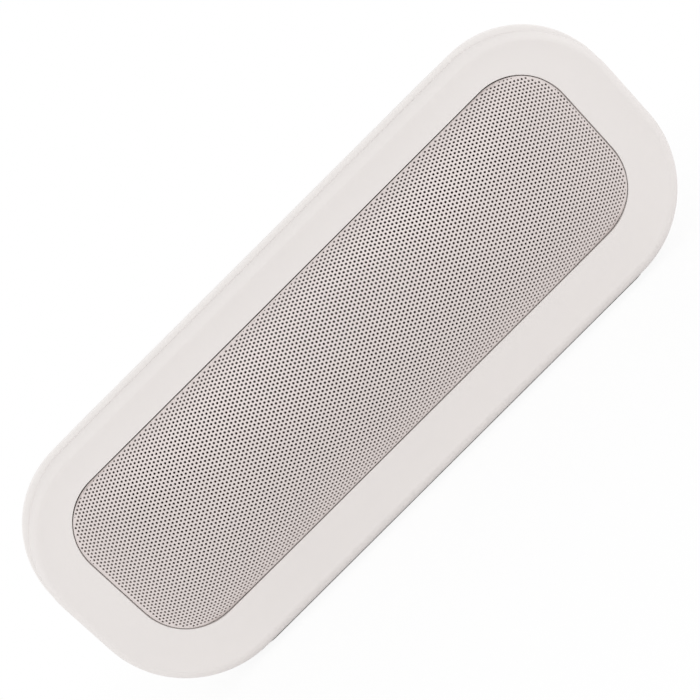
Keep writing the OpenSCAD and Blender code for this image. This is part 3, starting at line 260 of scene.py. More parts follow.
def even_shading(piece, crease=35.0):
    """Smooth shading in which the larger face decides at each corner, so that flat faces stay flat."""
    piece.data.polygons.foreach_set("use_smooth", np.ones(len(piece.data.polygons), bool))
    piece.data.set_sharp_from_angle(angle=np.radians(crease))
    weigh = piece.modifiers.new("weigh", "WEIGHTED_NORMAL")
    weigh.keep_sharp = True
    settle(piece)


# Materials

class Wire:
    """A socket of a node tree, with arithmetic that adds Math nodes."""

    def __init__(self, finish, socket):
        self.finish, self.socket = finish, socket

    def math(self, operation, *values):
        return self.finish.node("ShaderNodeMath", {"operation": operation}, dict(enumerate(values)))

    def sine(self):
        return self.math("SINE", self)

    def fraction(self):
        return self.math("FRACT", self)

    def __add__(self, other):
        return self.math("ADD", self, other)

    def __sub__(self, other):
        return self.math("SUBTRACT", self, other)

    def __rsub__(self, other):
        return self.math("SUBTRACT", other, self)

    def __mul__(self, other):
        return self.math("MULTIPLY", self, other)

    def __lt__(self, other):
        return self.math("LESS_THAN", self, other)

    def __gt__(self, other):
        return self.math("GREATER_THAN", self, other)

    def __abs__(self):
        return self.math("ABSOLUTE", self)

    __radd__, __rmul__ = __add__, __mul__


class Nodes:
    """A node tree, of a material or of the world."""

    def __init__(self, tree):
        self.tree = tree

    def node(self, kind, settings=None, values=None, output=0):
        """Adds a node: first its settings, such as a Math node's operation, then its sockets' values or links."""
        new = self.tree.nodes.new(kind)
        for key, value in (settings or {}).items():
            setattr(new, key, value)
        for socket, value in (values or {}).items():
            self.feed(new.inputs[socket], value)
        return Wire(self, new.outputs[output])

    def feed(self, socket, value):
        if isinstance(value, Wire):
            self.tree.links.new(value.socket, socket)
        else:
            socket.default_value = value

    def axes(self, place=None):
        """The three coordinates of a place, in metres, or of a direction."""
        parts = self.node("ShaderNodeSeparateXYZ", values={0: place or self.place}).socket.node
        return [Wire(self, parts.outputs[k]) for k in range(3)]


class Finish(Nodes):
    """One material: its node tree and the shader that the surface gets."""

    def __init__(self, name, **constants):
        self.material = bpy.data.materials.new(name)
        self.material.use_nodes = True
        super().__init__(self.material.node_tree)
        self.shader = self.tree.nodes["Principled BSDF"]
        self.place = self.node("ShaderNodeTexCoord", output="Object")
        for socket, value in constants.items():
            self.shader.inputs[socket.replace("_", " ")].default_value = value

    def shade(self, **links):
        for socket, value in links.items():
            self.feed(self.shader.inputs[socket.replace("_", " ")], value)
        return self

    def noise(self, size_mm, detail=2.0, place=None, roughness=0.5):
        """Soft noise between 0 and 1 whose patches are about so many millimetres wide."""
        return self.node("ShaderNodeTexNoise", values={
            "Vector": place or self.place, "Scale": 1.0 / (size_mm * MM), "Detail": detail, "Roughness": roughness})

    def bump(self, height, depth_mm):
        return self.node("ShaderNodeBump", values={"Height": height, "Distance": depth_mm * MM, "Strength": 1.0})


def mixed(finish, factor, first, second):
    """A colour between two, through a Mix node's colour sockets, which are its numbers 6 and 7 and its output 2."""
    return finish.node("ShaderNodeMix", {"data_type": "RGBA"}, {0: factor, 6: (*first, 1.0), 7: (*second, 1.0)}, 2)


def seen_directly(tree):
    """1 for the rays of the camera, of reflections and through clear pieces, which see the white background."""
    kinds = ["Is Camera Ray", "Is Glossy Ray", "Is Transmission Ray"]
    camera, glossy, clear = [tree.node("ShaderNodeLightPath", output=kind) for kind in kinds]
    total = camera + glossy + clear
    return total.math("MINIMUM", total, 1.0)


def tinted(colour, amount):
    """A colour made darker or lighter, at most white."""
    return tuple(min(1.0, c * amount) for c in colour)


def moulded_plastic(name, colour, roughness, grain_mm=0.22, grain_depth=0.012, drift=0.02, **constants):
    """Moulded plastic: a slow drift of its colour, an even fine grain and a slight change of gloss over it."""
    f = Finish(name, **constants)
    slow = f.noise(38.0, 1.0)
    fine = f.noise(grain_mm, 3.0)
    return f.shade(
        Base_Color=mixed(f, slow, tinted(colour, 1 - drift), tinted(colour, 1 + drift)),
        Roughness=fine * 0.08 + (roughness - 0.04),
        Normal=f.bump(fine, grain_depth)).material


def painted_sheet(name, colour):
    """Painted steel sheet: satin, with the fine stipple of sprayed paint."""
    f = Finish(name, Specular_IOR_Level=0.3, Metallic=0.35)
    slow = f.noise(30.0, 1.0)
    stipple = f.noise(0.12, 2.0)
    return f.shade(
        Base_Color=mixed(f, slow, tinted(colour, 0.985), tinted(colour, 1.015)),
        Roughness=stipple * 0.1 + 0.36,
        Normal=f.bump(stipple, 0.006)).material


def woven_cloth(name, colour, pitch_mm=0.35):
    """Plain weave: two crossed sets of threads, from the sines of both directions along the sheet."""
    f = Finish(name, Roughness=0.95)
    x, _, z = f.axes()
    turns = np.pi / (pitch_mm * MM)
    weave = abs((x * turns).sine() * (z * turns).sine())
    return f.shade(Base_Color=mixed(f, weave, tinted(colour, 0.6), tinted(colour, 1.5)),
                   Normal=f.bump(weave, 0.05)).material


def cast_rubber(name, colour, roughness=0.7):
    """Moulded rubber: dull, with a fine pebble and faint dusty patches."""
    f = Finish(name)
    pebble = f.noise(0.3, 2.0)
    dust = f.noise(12.0, 3.0)
    return f.shade(Base_Color=mixed(f, dust, tinted(colour, 0.85), tinted(colour, 1.25)),
                   Roughness=dust * 0.12 + (roughness - 0.06),
                   Normal=f.bump(pebble, 0.02)).material


def plated_steel(name, colour, roughness=0.3):
    """Zinc-plated or stamped steel: fine lines one way and a cloudy gloss."""
    f = Finish(name, Metallic=1.0)
    lines = f.noise(0.08, 2.0, f.node("ShaderNodeMapping", values={"Vector": f.place, "Scale": (1, 1, 12)}))
    cloud = f.noise(5.0, 2.0)
    return f.shade(Base_Color=mixed(f, cloud, tinted(colour, 0.88), tinted(colour, 1.06)),
                   Roughness=cloud * 0.18 + (roughness - 0.09),
                   Normal=f.bump(lines, 0.004)).material


def pressed_ceramic(name, colour):
    """Pressed ferrite: a dull dark grain."""
    f = Finish(name)
    grain = f.noise(0.25, 4.0)
    return f.shade(Base_Color=mixed(f, grain, tinted(colour, 0.7), tinted(colour, 1.4)),
                   Roughness=grain * 0.2 + 0.5, Normal=f.bump(grain, 0.02)).material


def wound_wire(name, colour, pitch_mm=0.18):
    """Enamelled wire: turns that follow each other along the coil's axis."""
    f = Finish(name, Metallic=1.0)
    _, y, _ = f.axes()
    turns = (y * (2 * np.pi / (pitch_mm * MM))).sine() * 0.5 + 0.5
    return f.shade(Base_Color=mixed(f, turns, tinted(colour, 0.6), tinted(colour, 1.15)),
                   Roughness=turns * -0.1 + 0.35,
                   Normal=f.bump(turns, 0.04)).material


def pressed_paper(name, colour):
    """Coated paper: matt, with fibres in its colour and its surface."""
    f = Finish(name, Roughness=0.85)
    fibres = f.noise(0.5, 6.0, roughness=0.7)
    return f.shade(Base_Color=mixed(f, fibres, tinted(colour, 0.7), tinted(colour, 1.35)),
                   Normal=f.bump(fibres, 0.05)).material


def circuit_laminate(name, colour):
    """Circuit board: solder mask over fine tracks, drawn as bands on a square grid that noise switches on and off."""
    f = Finish(name, Coat_Weight=0.5, Coat_Roughness=0.15)
    x, y, _ = f.axes()
    bands = (x * 900.0).fraction() < 0.35
    other = (y * 1100.0).fraction() < 0.35
    patches = f.noise(4.0, 1.0) > 0.5
    tracks = bands * patches + other * (1 - patches)
    return f.shade(Base_Color=mixed(f, tracks, colour, tinted(colour, 1.9)), Roughness=tracks * -0.08 + 0.38,
                   Normal=f.bump(tracks, 0.02)).material


def shrink_film(name, colour):
    """Shrunk film: glossy, with soft wrinkles."""
    f = Finish(name, Coat_Weight=0.3)
    wrinkle = f.noise(3.0, 2.0)
    return f.shade(Base_Color=mixed(f, wrinkle, tinted(colour, 0.9), tinted(colour, 1.12)),
                   Roughness=wrinkle * 0.1 + 0.25, Normal=f.bump(wrinkle, 0.05)).material


def clear_lens(name, colour):
    """Clear moulded plastic with a faint haze."""
    f = Finish(name, Transmission_Weight=0.6, IOR=1.49)
    haze = f.noise(0.8, 2.0)
    return f.shade(Base_Color=mixed(f, haze, tinted(colour, 0.95), colour), Roughness=haze * 0.1 + 0.2).material


BEZEL_WHITE = (0.785, 0.748, 0.73)
CASE_WHITE = (0.85, 0.822, 0.806)
GRILLE_GREY = (0.712, 0.647, 0.628)

finishes = {
    "bezel_plastic": moulded_plastic("soft_bezel", BEZEL_WHITE, 0.55, drift=0.012),
    "case_plastic": moulded_plastic("soft_case", CASE_WHITE, 0.55, drift=0.012),
    "key_plastic": moulded_plastic("soft_key", tinted(CASE_WHITE, 0.97), 0.5),
    "grille_metal": painted_sheet("painted_grille", GRILLE_GREY),
    "cloth": woven_cloth("acoustic_cloth", (0.045, 0.024, 0.02)),
    "inner_plastic": moulded_plastic("black_moulding", (0.035, 0.035, 0.038), 0.5, drift=0.1),
    "black_rubber": cast_rubber("black_rubber", (0.035, 0.032, 0.03)),
    "foot_rubber": cast_rubber("grey_rubber", (0.46, 0.44, 0.43)),
    "steel": plated_steel("plated_steel", (0.6, 0.6, 0.62)),
    "ferrite": pressed_ceramic("grey_ferrite", (0.05, 0.05, 0.055)),
    "copper": wound_wire("enamelled_copper", (0.72, 0.33, 0.14)),
    "coated_paper": pressed_paper("coated_paper", (0.05, 0.048, 0.046)),
    "spider_cloth": woven_cloth("dipped_cloth", (0.5, 0.3, 0.1), 0.5),
    "cell_wrap": shrink_film("cell_film", (0.06, 0.22, 0.42)),
    "sleeve_film": shrink_film("pack_film", (0.04, 0.1, 0.28)),
    "board_laminate": circuit_laminate("green_laminate", (0.015, 0.1, 0.045)),
    "dark_parts": moulded_plastic("dark_parts", (0.03, 0.03, 0.033), 0.4, drift=0.15),
    "pale_nylon": moulded_plastic("pale_nylon", (0.76, 0.73, 0.65), 0.45),
    "red_insulation": moulded_plastic("red_insulation", (0.45, 0.03, 0.02), 0.35),
    "clear_plastic": clear_lens("clear_lens", (0.85, 0.87, 0.85)),
}
for part in frame["record"]["subparts"]:
    for holder in frame["nodes"][part["node"]].material_slots:
        holder.material = finishes[part["material_slot"]]


# Front bezel

def build_bezel():
    """One closed profile carried round: the side, a quarter of an ellipse over the outer edge, an arc that falls
    into the dish, and the lip of the opening. The rows up to the dish follow the bezel's outline, the lip's rows
    follow the opening's.
    """
    outer = outline(BEZEL_LEN, BEZEL_H, BEZEL_R)
    inner = outline(OPENING_LEN, OPENING_H, OPENING_R)
    dish_r = (DISH_RUN ** 2 + DISH_DEPTH ** 2) / (2 * DISH_DEPTH)
    crest = -BEZEL_CREST
    side_end, nick, guard = CASE_FRONT_Y - SEAM, 0.12, 0.3
    side = [[-nick, side_end], [0.0, side_end - nick]]
    rounding = [[crest * (1 - x), RIM_Y + BEZEL_EDGE_R * (1 + y)] for x, y in quarter(0, -90, 18, 1.0, (0.0, 0.0))]
    along = np.linspace(0, 1, 15)[1:] * DISH_RUN
    hollow = [[crest - s, LIP_Y - dish_r + np.sqrt(dish_r ** 2 - (DISH_RUN - s) ** 2)] for s in along]
    face = [[crest - DISH_RUN - guard, LIP_Y]]
    behind = [[-BEZEL_WALL, LIP_Y + BEZEL_FACE], [-BEZEL_WALL, side_end]]
    lip = [[nick + guard, LIP_Y]] + quarter(-90, -180, 5, nick, (nick, LIP_Y + nick))
    wall = [[0.0, LIP_Y + 2 * nick], [0.0, BAFFLE_Y], [OPENING_WALL, BAFFLE_Y],
            [OPENING_WALL, LIP_Y + BEZEL_FACE]]
    front = standing(*outer, side + rounding + hollow + face, BEZEL_Z)
    middle = standing(*inner, lip + wall, GRILLE_Z)
    rest = standing(*outer, behind, BEZEL_Z)
    shell = Shell()
    shell.loop(np.concatenate([front, middle, rest])[::-1])
    tongue = outline(CASE_LEN - 2 * TONGUE_INSET, CASE_H - 2 * TONGUE_INSET, CASE_R - TONGUE_INSET)
    shell.loop(standing(*tongue, ring_rows(0, -TONGUE_WALL, LIP_Y + BEZEL_FACE - 0.5, TONGUE_END_Y), CASE_Z))
    make_piece("bezel_moulding", *shell.all(), "housing", "bezel_plastic", finishes["bezel_plastic"], ["front_bezel"])


# Grille

HOLE_PITCH, HOLE_D = 1.15, 0.68
COLUMN = HOLE_PITCH * np.sqrt(3) / 2
LATTICE_SHIFT = (-0.35, 0.68)
LATTICE_TURN = np.radians(0.27)
LATTICE_PIVOT = (0.42, 2.19)
LATTICE_MOVE = (0.16, 0.15)
LATTICE_BOW_X, LATTICE_BOW_Z = 3.05e-6, 8.1e-7
COLUMNS_EACH_WAY, ROWS_EACH_WAY = 106, 85
RIM, RIM_CLEAR, EDGE_CLEAR = 0.2, 0.06, 0.08
SMALLEST_HOLE_R = 0.14
DOME_BLEND = 1.7
BAND_ENDS = (-200.0, -44.0, 0.0, 44.0, 200.0)
GRILLE_LEN, GRILLE_H, GRILLE_R = OPENING_LEN - 2 * GRILLE_GAP, OPENING_H - 2 * GRILLE_GAP, OPENING_R - GRILLE_GAP
EYE = (2.01, CROWN_Y - 254.4, 39.5)


def drop_along(x):
    """How far the dome falls back along the speaker: an even polynomial, fitted to the holes' measured places."""
    return 2.857e-5 * x ** 2 + 2.406e-8 * x ** 4 + 1.019e-11 * x ** 6


def drop_across(z):
    """How far the dome falls back across the speaker: an even polynomial, fitted like drop_along()."""
    return 5.998e-3 * z ** 2 - 4.606e-7 * z ** 4 + 8.232e-9 * z ** 6


def measured_depth(x, z):
    """The depth that fits the holes' measured places: both drops together, less where they meet in the corners."""
    return CROWN_Y + drop_along(x) + drop_across(z) - 2.69e-7 * x ** 2 * z ** 2


def dome_depth(x, z):
    """The dome: both drops are scaled to be equal at the sheet's edges, and their powers of DOME_BLEND are added, so
    that the whole edge lies at about one depth behind the lip.
    """
    along = drop_along(x) * EDGE_DROP / drop_along(GRILLE_LEN / 2)
    across = drop_across(z) * EDGE_DROP / drop_across(GRILLE_H / 2)
    return CROWN_Y + (along ** DOME_BLEND + across ** DOME_BLEND) ** (1 / DOME_BLEND)


def settled(x, z):
    """Turns and moves the lattice as it sits in the opening, and takes its places from the measured depth onto the
    dome, each along the line from the viewpoint through it.
    """
    far = measured_depth(x, z) - EYE[1]
    x, z = x + LATTICE_TURN * (z - LATTICE_PIVOT[1]), z - LATTICE_TURN * (x - LATTICE_PIVOT[0])
    x, z = x + LATTICE_MOVE[0], z + LATTICE_MOVE[1]
    new_x, new_z = x, z
    for _ in range(3):
        share = np.clip((dome_depth(new_x, new_z) - EYE[1]) / far, 0.9, 1.1)
        new_x, new_z = EYE[0] + (x - EYE[0]) * share, EYE[2] + (z - EYE[2]) * share
    return new_x, new_z


def unrolled(fall, reach):
    """Turns a length along the curved sheet into a distance from the middle."""
    t = np.linspace(-reach, reach, 4001)
    slope = np.gradient(fall(t), t)
    run = np.concatenate([[0.0], np.cumsum(np.hypot(1, (slope[1:] + slope[:-1]) / 2) * np.diff(t))])
    run -= np.interp(0, t, run)
    return lambda u: np.interp(u, run, t)


def on_outline(x, z, length, height, radius):
    """Distance outside a rounded rectangle, and the nearest point on it."""
    cx, cz = length / 2 - radius, height / 2 - radius
    px, pz = np.clip(x, -cx, cx), np.clip(z, -cz, cz)
    dx, dz = x - px, z - pz
    flat = np.hypot(dx, dz)
    reach = np.where(flat > 0, flat, 1)
    out = flat - radius
    return out, px + dx / reach * radius, pz + dz / reach * radius


def sheet_points(x, z, snap_x, snap_z, snapped, depth):
    """Points a depth behind the sheet's front, along the sheet's normal, which is the dome's slope in x and z with 1
    for depth, made one long. Snapped points lie straight behind their place on the sheet's edge instead.
    """
    step = 0.01
    gx = (dome_depth(x + step, z) - dome_depth(x - step, z)) / (2 * step)
    gz = (dome_depth(x, z + step) - dome_depth(x, z - step)) / (2 * step)
    size = np.sqrt(1 + gx ** 2 + gz ** 2)
    free = (x - depth * gx / size, dome_depth(x, z) + depth / size, z - depth * gz / size)
    held = (snap_x, dome_depth(snap_x, snap_z) + depth, snap_z)
    return np.stack([np.where(snapped, h, f) for h, f in zip(held, free)], axis=-1)


def build_grille():
    """A hexagonal lattice of holes in the curved sheet.

    Every cell is a hexagon of the flat sheet with twelve points round it and, where the sheet has a hole, twelve
    round the hole. The flat sheet is rolled onto the dome by lengths along it. Points outside the grille's outline
    move onto it, and the skirt runs back from there to the baffle.
    """
    length, height, radius = GRILLE_LEN, GRILLE_H, GRILLE_R
    roll_x, roll_z = unrolled(drop_along, 110), unrolled(drop_across, 40)
    columns = np.arange(-COLUMNS_EACH_WAY, COLUMNS_EACH_WAY + 1)
    rows = np.arange(-ROWS_EACH_WAY, ROWS_EACH_WAY + 1)
    i, j = [k.ravel() for k in np.meshgrid(columns, rows, indexing="ij")]
    turn = np.radians(30 * np.arange(12))
    reach = np.where(np.arange(12) % 2 == 0, HOLE_PITCH / np.sqrt(3), HOLE_PITCH / 2)
    rim_u, rim_v = reach * np.cos(turn), reach * np.sin(turn)

    def place(u, v):
        x, z = roll_x(u + LATTICE_SHIFT[0]), roll_z(v + LATTICE_SHIFT[1])
        return settled(x - LATTICE_BOW_X * x * z ** 2, z + LATTICE_BOW_Z * z * x ** 2)

    cu, cv = i * COLUMN, (j + (i % 2) / 2) * HOLE_PITCH
    hx, hz = place(cu, cv)
    centre_out = on_outline(hx, hz, length, height, radius)[0]
    hole_r = np.clip(-centre_out - RIM - RIM_CLEAR, 0, HOLE_D / 2)
    pu, pv = cu[:, None] + rim_u, cv[:, None] + rim_v
    px, pz = place(pu, pv)
    margin = RIM + EDGE_CLEAR
    out, _, _ = on_outline(px, pz, length, height, radius)
    kept = (out < -margin).any(axis=1)
    holed = kept & (hole_r > SMALLEST_HOLE_R)
    cells, holed = np.nonzero(kept)[0], holed[kept]

    keys = np.round(np.stack([pu[cells], pv[cells]], axis=-1).reshape(-1, 2) * 1000).astype(np.int64)
    unique, first, where = np.unique(keys, axis=0, return_index=True, return_inverse=True)
    where = where.reshape(-1, 12)
    fx, fz = px[cells].reshape(-1)[first], pz[cells].reshape(-1)[first]
    edge_out, ox, oz = on_outline(fx, fz, length, height, radius)
    _, ix, iz = on_outline(fx, fz, length - 2 * RIM, height - 2 * RIM, radius - RIM)
    on_edge = edge_out > -margin

    front = sheet_points(fx, fz, ox, oz, on_edge, 0.0)
    back = sheet_points(fx, fz, ix, iz, on_edge, SHEET)
    wide = hole_r[cells][holed][:, None]
    hu = cu[cells][holed][:, None] + wide * np.cos(turn)
    hv = cv[cells][holed][:, None] + wide * np.sin(turn)
    rx, rz = place(hu, hv)
    never = np.zeros(rx.shape, bool)
    hole_front = sheet_points(rx, rz, rx, rz, never, 0.0)
    hole_back = sheet_points(rx, rz, rx, rz, never, SHEET)
    lift = np.array([0.0, 0.0, GRILLE_Z])

    middle_x = hx[cells]
    for band, (low, high) in enumerate(zip(BAND_ENDS, BAND_ENDS[1:])):
        mine = (middle_x >= low) & (middle_x < high)
        grille_band(band, where[mine], holed[mine], front, back,
                    hole_front[mine[holed]], hole_back[mine[holed]], on_edge, lift)


def grille_band(band, cells, holed, front, back, hole_front, hole_back, on_edge, lift):
    """One stretch of the grille as a closed mesh: front, back, the walls of its holes, the skirt and the cut ends."""
    used = np.unique(cells)
    index = np.full(len(front), -1)
    index[used] = np.arange(len(used))
    cells = index[cells]
    n = len(used)
    holes = len(hole_front)
    points = np.concatenate([front[used], back[used], hole_front.reshape(-1, 3), hole_back.reshape(-1, 3)])
    k = np.arange(12)
    k1 = (k + 1) % 12
    base = 2 * n + 12 * np.arange(holes)[:, None]
    ring_f = base + k
    ring_b = ring_f + 12 * holes
    open_cells = cells[holed]
    faces_front = np.stack([open_cells[:, k], ring_f[:, k], ring_f[:, k1], open_cells[:, k1]], axis=-1)
    faces_back = np.stack([open_cells[:, k] + n, open_cells[:, k1] + n, ring_b[:, k1], ring_b[:, k]], axis=-1)
    walls = np.stack([ring_f[:, k], ring_b[:, k], ring_b[:, k1], ring_f[:, k1]], axis=-1)
    faces = [tuple(f) for f in np.concatenate([a.reshape(-1, 4) for a in (faces_front, faces_back, walls)]).tolist()]
    shut = cells[~holed]
    faces += [tuple(c[::-1]) for c in shut.tolist()]
    faces += [tuple(v + n for v in c) for c in shut.tolist()]
    # The free edges of the front sheet: those that only one cell has
    a, b = cells[:, k].ravel(), cells[:, k1].ravel()
    pair = np.sort(np.stack([a, b], axis=-1), axis=1)
    _, back_index, counts = np.unique(pair, axis=0, return_inverse=True, return_counts=True)
    free = counts[back_index.ravel()] == 1
    a, b = a[free], b[free]
    edge = on_edge[used]
    outer = edge[a] & edge[b]
    for p, q in zip(a[~outer].tolist(), b[~outer].tolist()):
        faces.append((p, q, q + n, p + n))
    skirt_a, skirt_b = a[outer], b[outer]
    rim = np.unique(np.concatenate([skirt_a, skirt_b]))
    low = np.full(n, -1)
    total = len(points)
    low[rim] = total + np.arange(len(rim))
    low_front, low_back = points[rim].copy(), points[rim + n].copy()
    low_front[:, 1] = BAFFLE_Y
    low_back[:, 1] = BAFFLE_Y
    points = np.concatenate([points, low_front, low_back]) + lift
    m = len(rim)
    for p, q in zip(skirt_a.tolist(), skirt_b.tolist()):
        lp, lq = int(low[p]), int(low[q])
        faces += [(p, q, lq, lp), (lp, lq, lq + m, lp + m), (lp + m, lq + m, q + n, p + n)]
    make_piece(f"grille_band_{band + 1}", points, faces, "housing", "grille_metal",
                      finishes["grille_metal"], ["grille"], crease=40.0)


# Rear case

EASE = 0.25


def eased_slot(shape, mouth, end, reach, lay, centre):
    """A cutter whose edge at the mouth is rounded over: down its side, then out along a quarter circle."""
    side = np.sign(mouth - end)
    rows = [[0.0, end]] + [[x, mouth + side * y] for x, y in quarter(180, 90, 3, EASE, (EASE, -EASE))] \
        + [[EASE, mouth + side * reach]]
    if (lay is lying) == (side > 0):
        rows = rows[::-1]
    return lay(*shape, rows, *centre)


def build_case():
    """A cup: out along the inside of the back, forward along the inner walls, round the front edge and back along the
    outer walls to the back. Keys, lamp, foot and sockets are cut out of it, and turned bosses and posts stand in it.
    """
    shape = outline(CASE_LEN, CASE_H, CASE_R)
    inner_r = CASE_BACK_R - CASE_WALL
    inside = quarter(90, 0, 12, inner_r, (-CASE_WALL - inner_r, INNER_BACK_Y - inner_r))
    edge_y = CASE_FRONT_Y + CASE_FRONT_R
    front = [[-CASE_WALL, CASE_FRONT_Y]] + quarter(-90, 0, 10, CASE_FRONT_R, (-CASE_FRONT_R, edge_y))
    back = quarter(0, 90, 24, CASE_BACK_R, (-CASE_BACK_R, BACK_Y - CASE_BACK_R))
    side = [[0, edge_y + 0.4], [0, BACK_Y - CASE_BACK_R - 0.4]]
    start, end = [[-CASE_WALL - inner_r - 0.4, INNER_BACK_Y]], [[-CASE_BACK_R - 0.4, BACK_Y]]
    rows = start + inside + front + side + back + end
    shell = Shell()
    shell.capped(standing(*shape, rows, CASE_Z))
    case = make_piece("case_shell", *shell.all(), "housing", "case_plastic", finishes["case_plastic"], ["rear_case"])
    through_top, through_back = CEILING_Z - 0.5, INNER_BACK_Y - 0.5
    slot = obround(KEY_LEN + 2 * KEY_GAP, KEY_W + 2 * KEY_GAP)
    lamp_hole, audio_hole = circle(GUIDE_HOLE_D / 2, 40), circle(AUDIO_D / 2, 40)
    foot, port = outline(FOOT_LEN, FOOT_W, FOOT_R), outline(PORT_LEN, PORT_H, PORT_H / 2 - 0.2, guard=0.1)
    cuts = [eased_slot(slot, CASE_TOP, through_top, 1.0, lying, [(x, KEY_Y)]) for x in KEY_XS.values()]
    cuts += [eased_slot(lamp_hole, CASE_TOP, through_top, 1.0, lying, [(GUIDE_X, KEY_Y)]),
             eased_slot(foot, FOOT_DROP, FOOT_TOP_Z, 0.5, lying, [(0.0, FOOT_Y)]),
             eased_slot(port, BACK_Y, PORT_FACE_Y, 1.0, standing, [PORT_Z]),
             eased_slot(obround(USB_LEN, USB_H), PORT_FACE_Y, through_back, 0.5, standing, [USB_Z, USB_X]),
             eased_slot(audio_hole, PORT_FACE_Y, through_back, 0.5, standing, [AUDIO_Z, AUDIO_X])]
    cut_out(case, cuts)
    even_shading(case)
    build_case_posts(shape)


def build_case_posts(shape):
    """The ledge for the baffle, a ring of rectangular section carried round the case's outline, and turned bosses and
    posts for the baffle, both boards and the battery's cradle. Webs join the two middle bosses to the wall.
    """
    boss, post = (BOSS_BORE_D / 2, BOSS_D / 2), (POST_BORE_D / 2, POST_D / 2)
    bore_end, into_back, mid_end = BAFFLE_BACK_Y + BOSS_BORE_DEPTH, INNER_BACK_Y + 0.6, BAFFLE_BACK_Y + MID_BOSS_LEN
    corner_boss = bored_rows(*boss, BAFFLE_BACK_Y, bore_end, into_back)
    mid_boss = bored_rows(*boss, BAFFLE_BACK_Y, bore_end, mid_end)
    board_post = bored_rows(*post, BOARD_Z, BOARD_Z - POST_BORE_DEPTH, FLOOR_Z - 0.8)
    key_post = bored_rows(*post, KEY_BOARD_TOP_Z, CEILING_Z + 0.1, CEILING_Z + 0.6)[::-1]
    cradle_post = bored_rows(*post, INNER_BACK_Y - POST_BORE_DEPTH, INNER_BACK_Y, into_back)
    web = outline(BOSS_D, WEB_H, WEB_R, 4, 0.1)
    ledge = ring_rows(-CASE_WALL / 2, -CASE_WALL - LEDGE_W, LEDGE_Y, LEDGE_Y + LEDGE_T)
    shell = Shell()
    shell.loop(standing(*shape, ledge, CASE_Z))
    for x in (-BOSS_X, BOSS_X):
        for z in (-BOSS_Z, BOSS_Z):
            shell.capped(standing(*circle(), corner_boss, CASE_Z + z, x))
    for side in (-1, 1):
        z = CASE_Z + side * MID_BOSS_Z
        shell.capped(standing(*circle(), mid_boss, z))
        shell.capped(standing(*web, [[0, LEDGE_Y], [0, mid_end]], z + side * WEB_OFFSET))
    for x in (-BOARD_POST_X, BOARD_POST_X):
        for y in BOARD_POST_YS:
            shell.capped(lying(*circle(), board_post, (x, y)))
    for x in (-KEY_POST_X, KEY_POST_X):
        shell.capped(lying(*circle(), key_post, (x, KEY_Y)))
    for x in (-CRADLE_POST_X, CRADLE_POST_X):
        shell.capped(standing(*circle(), cradle_post, CRADLE_Z, x))
    make_piece("case_posts", *shell.all(), "housing", "case_plastic", finishes["case_plastic"], ["rear_case"])


# Foot

def build_foot():
    """A flat pad: down its side and round its lower edge, with three grooves cut into its underside."""
    edge, centre = FOOT_EDGE_R, (0.0, FOOT_Y)
    rows = [[-0.4, FOOT_TOP_Z], [0, FOOT_TOP_Z]] + quarter(0, -90, 6, edge, (-edge, edge)) + [[-edge - 0.4, 0.0]]
    shell = Shell()
    shell.capped(lying(*outline(FOOT_LEN, FOOT_W, FOOT_R), rows, centre))
    foot = make_piece("foot_pad", *shell.all(), "housing", "foot_rubber", finishes["foot_rubber"], ["foot"])
    groove = obround(FOOT_LEN - 2 * FOOT_R, GROOVE_W, 12)
    cut_out(foot, [lying(*groove, [[0, GROOVE_DEPTH], [0, -0.5]], (0.0, FOOT_Y + y)) for y in GROOVE_YS])
    even_shading(foot)


# Keys

def ribbon(shell, path, width, low, high):
    """A flat bar of a width carried along a path, square to it at each point."""
    path = np.asarray(path, float)
    step = np.gradient(path, axis=0)
    step /= np.linalg.norm(step, axis=1, keepdims=True)
    side = np.stack([-step[:, 1], step[:, 0]], axis=-1) * width / 2
    corners = [np.column_stack([path + sign * side, np.full(len(path), z)])
               for sign, z in ((1, high), (1, low), (-1, low), (-1, high))]
    shell.capped(np.stack(corners, axis=1))


def arc(radius, start, end, centre=(0.0, 0.0), steps=24):
    """An arc of a key's sign: centre + radius * (cos a, sin a)."""
    return quarter(start, end, steps, radius, centre)


def key_marks(shell, kind, x, low, high):
    """The raised sign of a key: bars and arcs, or the triangle of play and pause."""
    here = np.array([x, KEY_Y])
    signs = {
        "power": [arc(1.35, 125, 415), [[0, 0.3], [0, 1.9]]],
        "minus": [[[-1.5, 0], [1.5, 0]]],
        "plus": [[[-1.5, 0], [1.5, 0]], [[0, -1.5], [0, 1.5]]],
        "pair": [arc(0.7, -48, 48, (-1.1, 0)), arc(1.7, -48, 48, (-1.1, 0)), arc(2.7, -48, 48, (-1.1, 0))],
        "play": [[[1.15, -1.1], [1.15, 1.1]], [[1.95, -1.1], [1.95, 1.1]]],
    }
    for path in signs[kind]:
        ribbon(shell, here + np.asarray(path, float), SIGN_W, low, high)
    if kind == "play":
        corners = here + np.array([[-2.0, -1.3], [0.4, 0.0], [-2.0, 1.3]])
        shell.capped(np.stack([np.column_stack([corners, np.full(3, z)]) for z in (high, low)]))


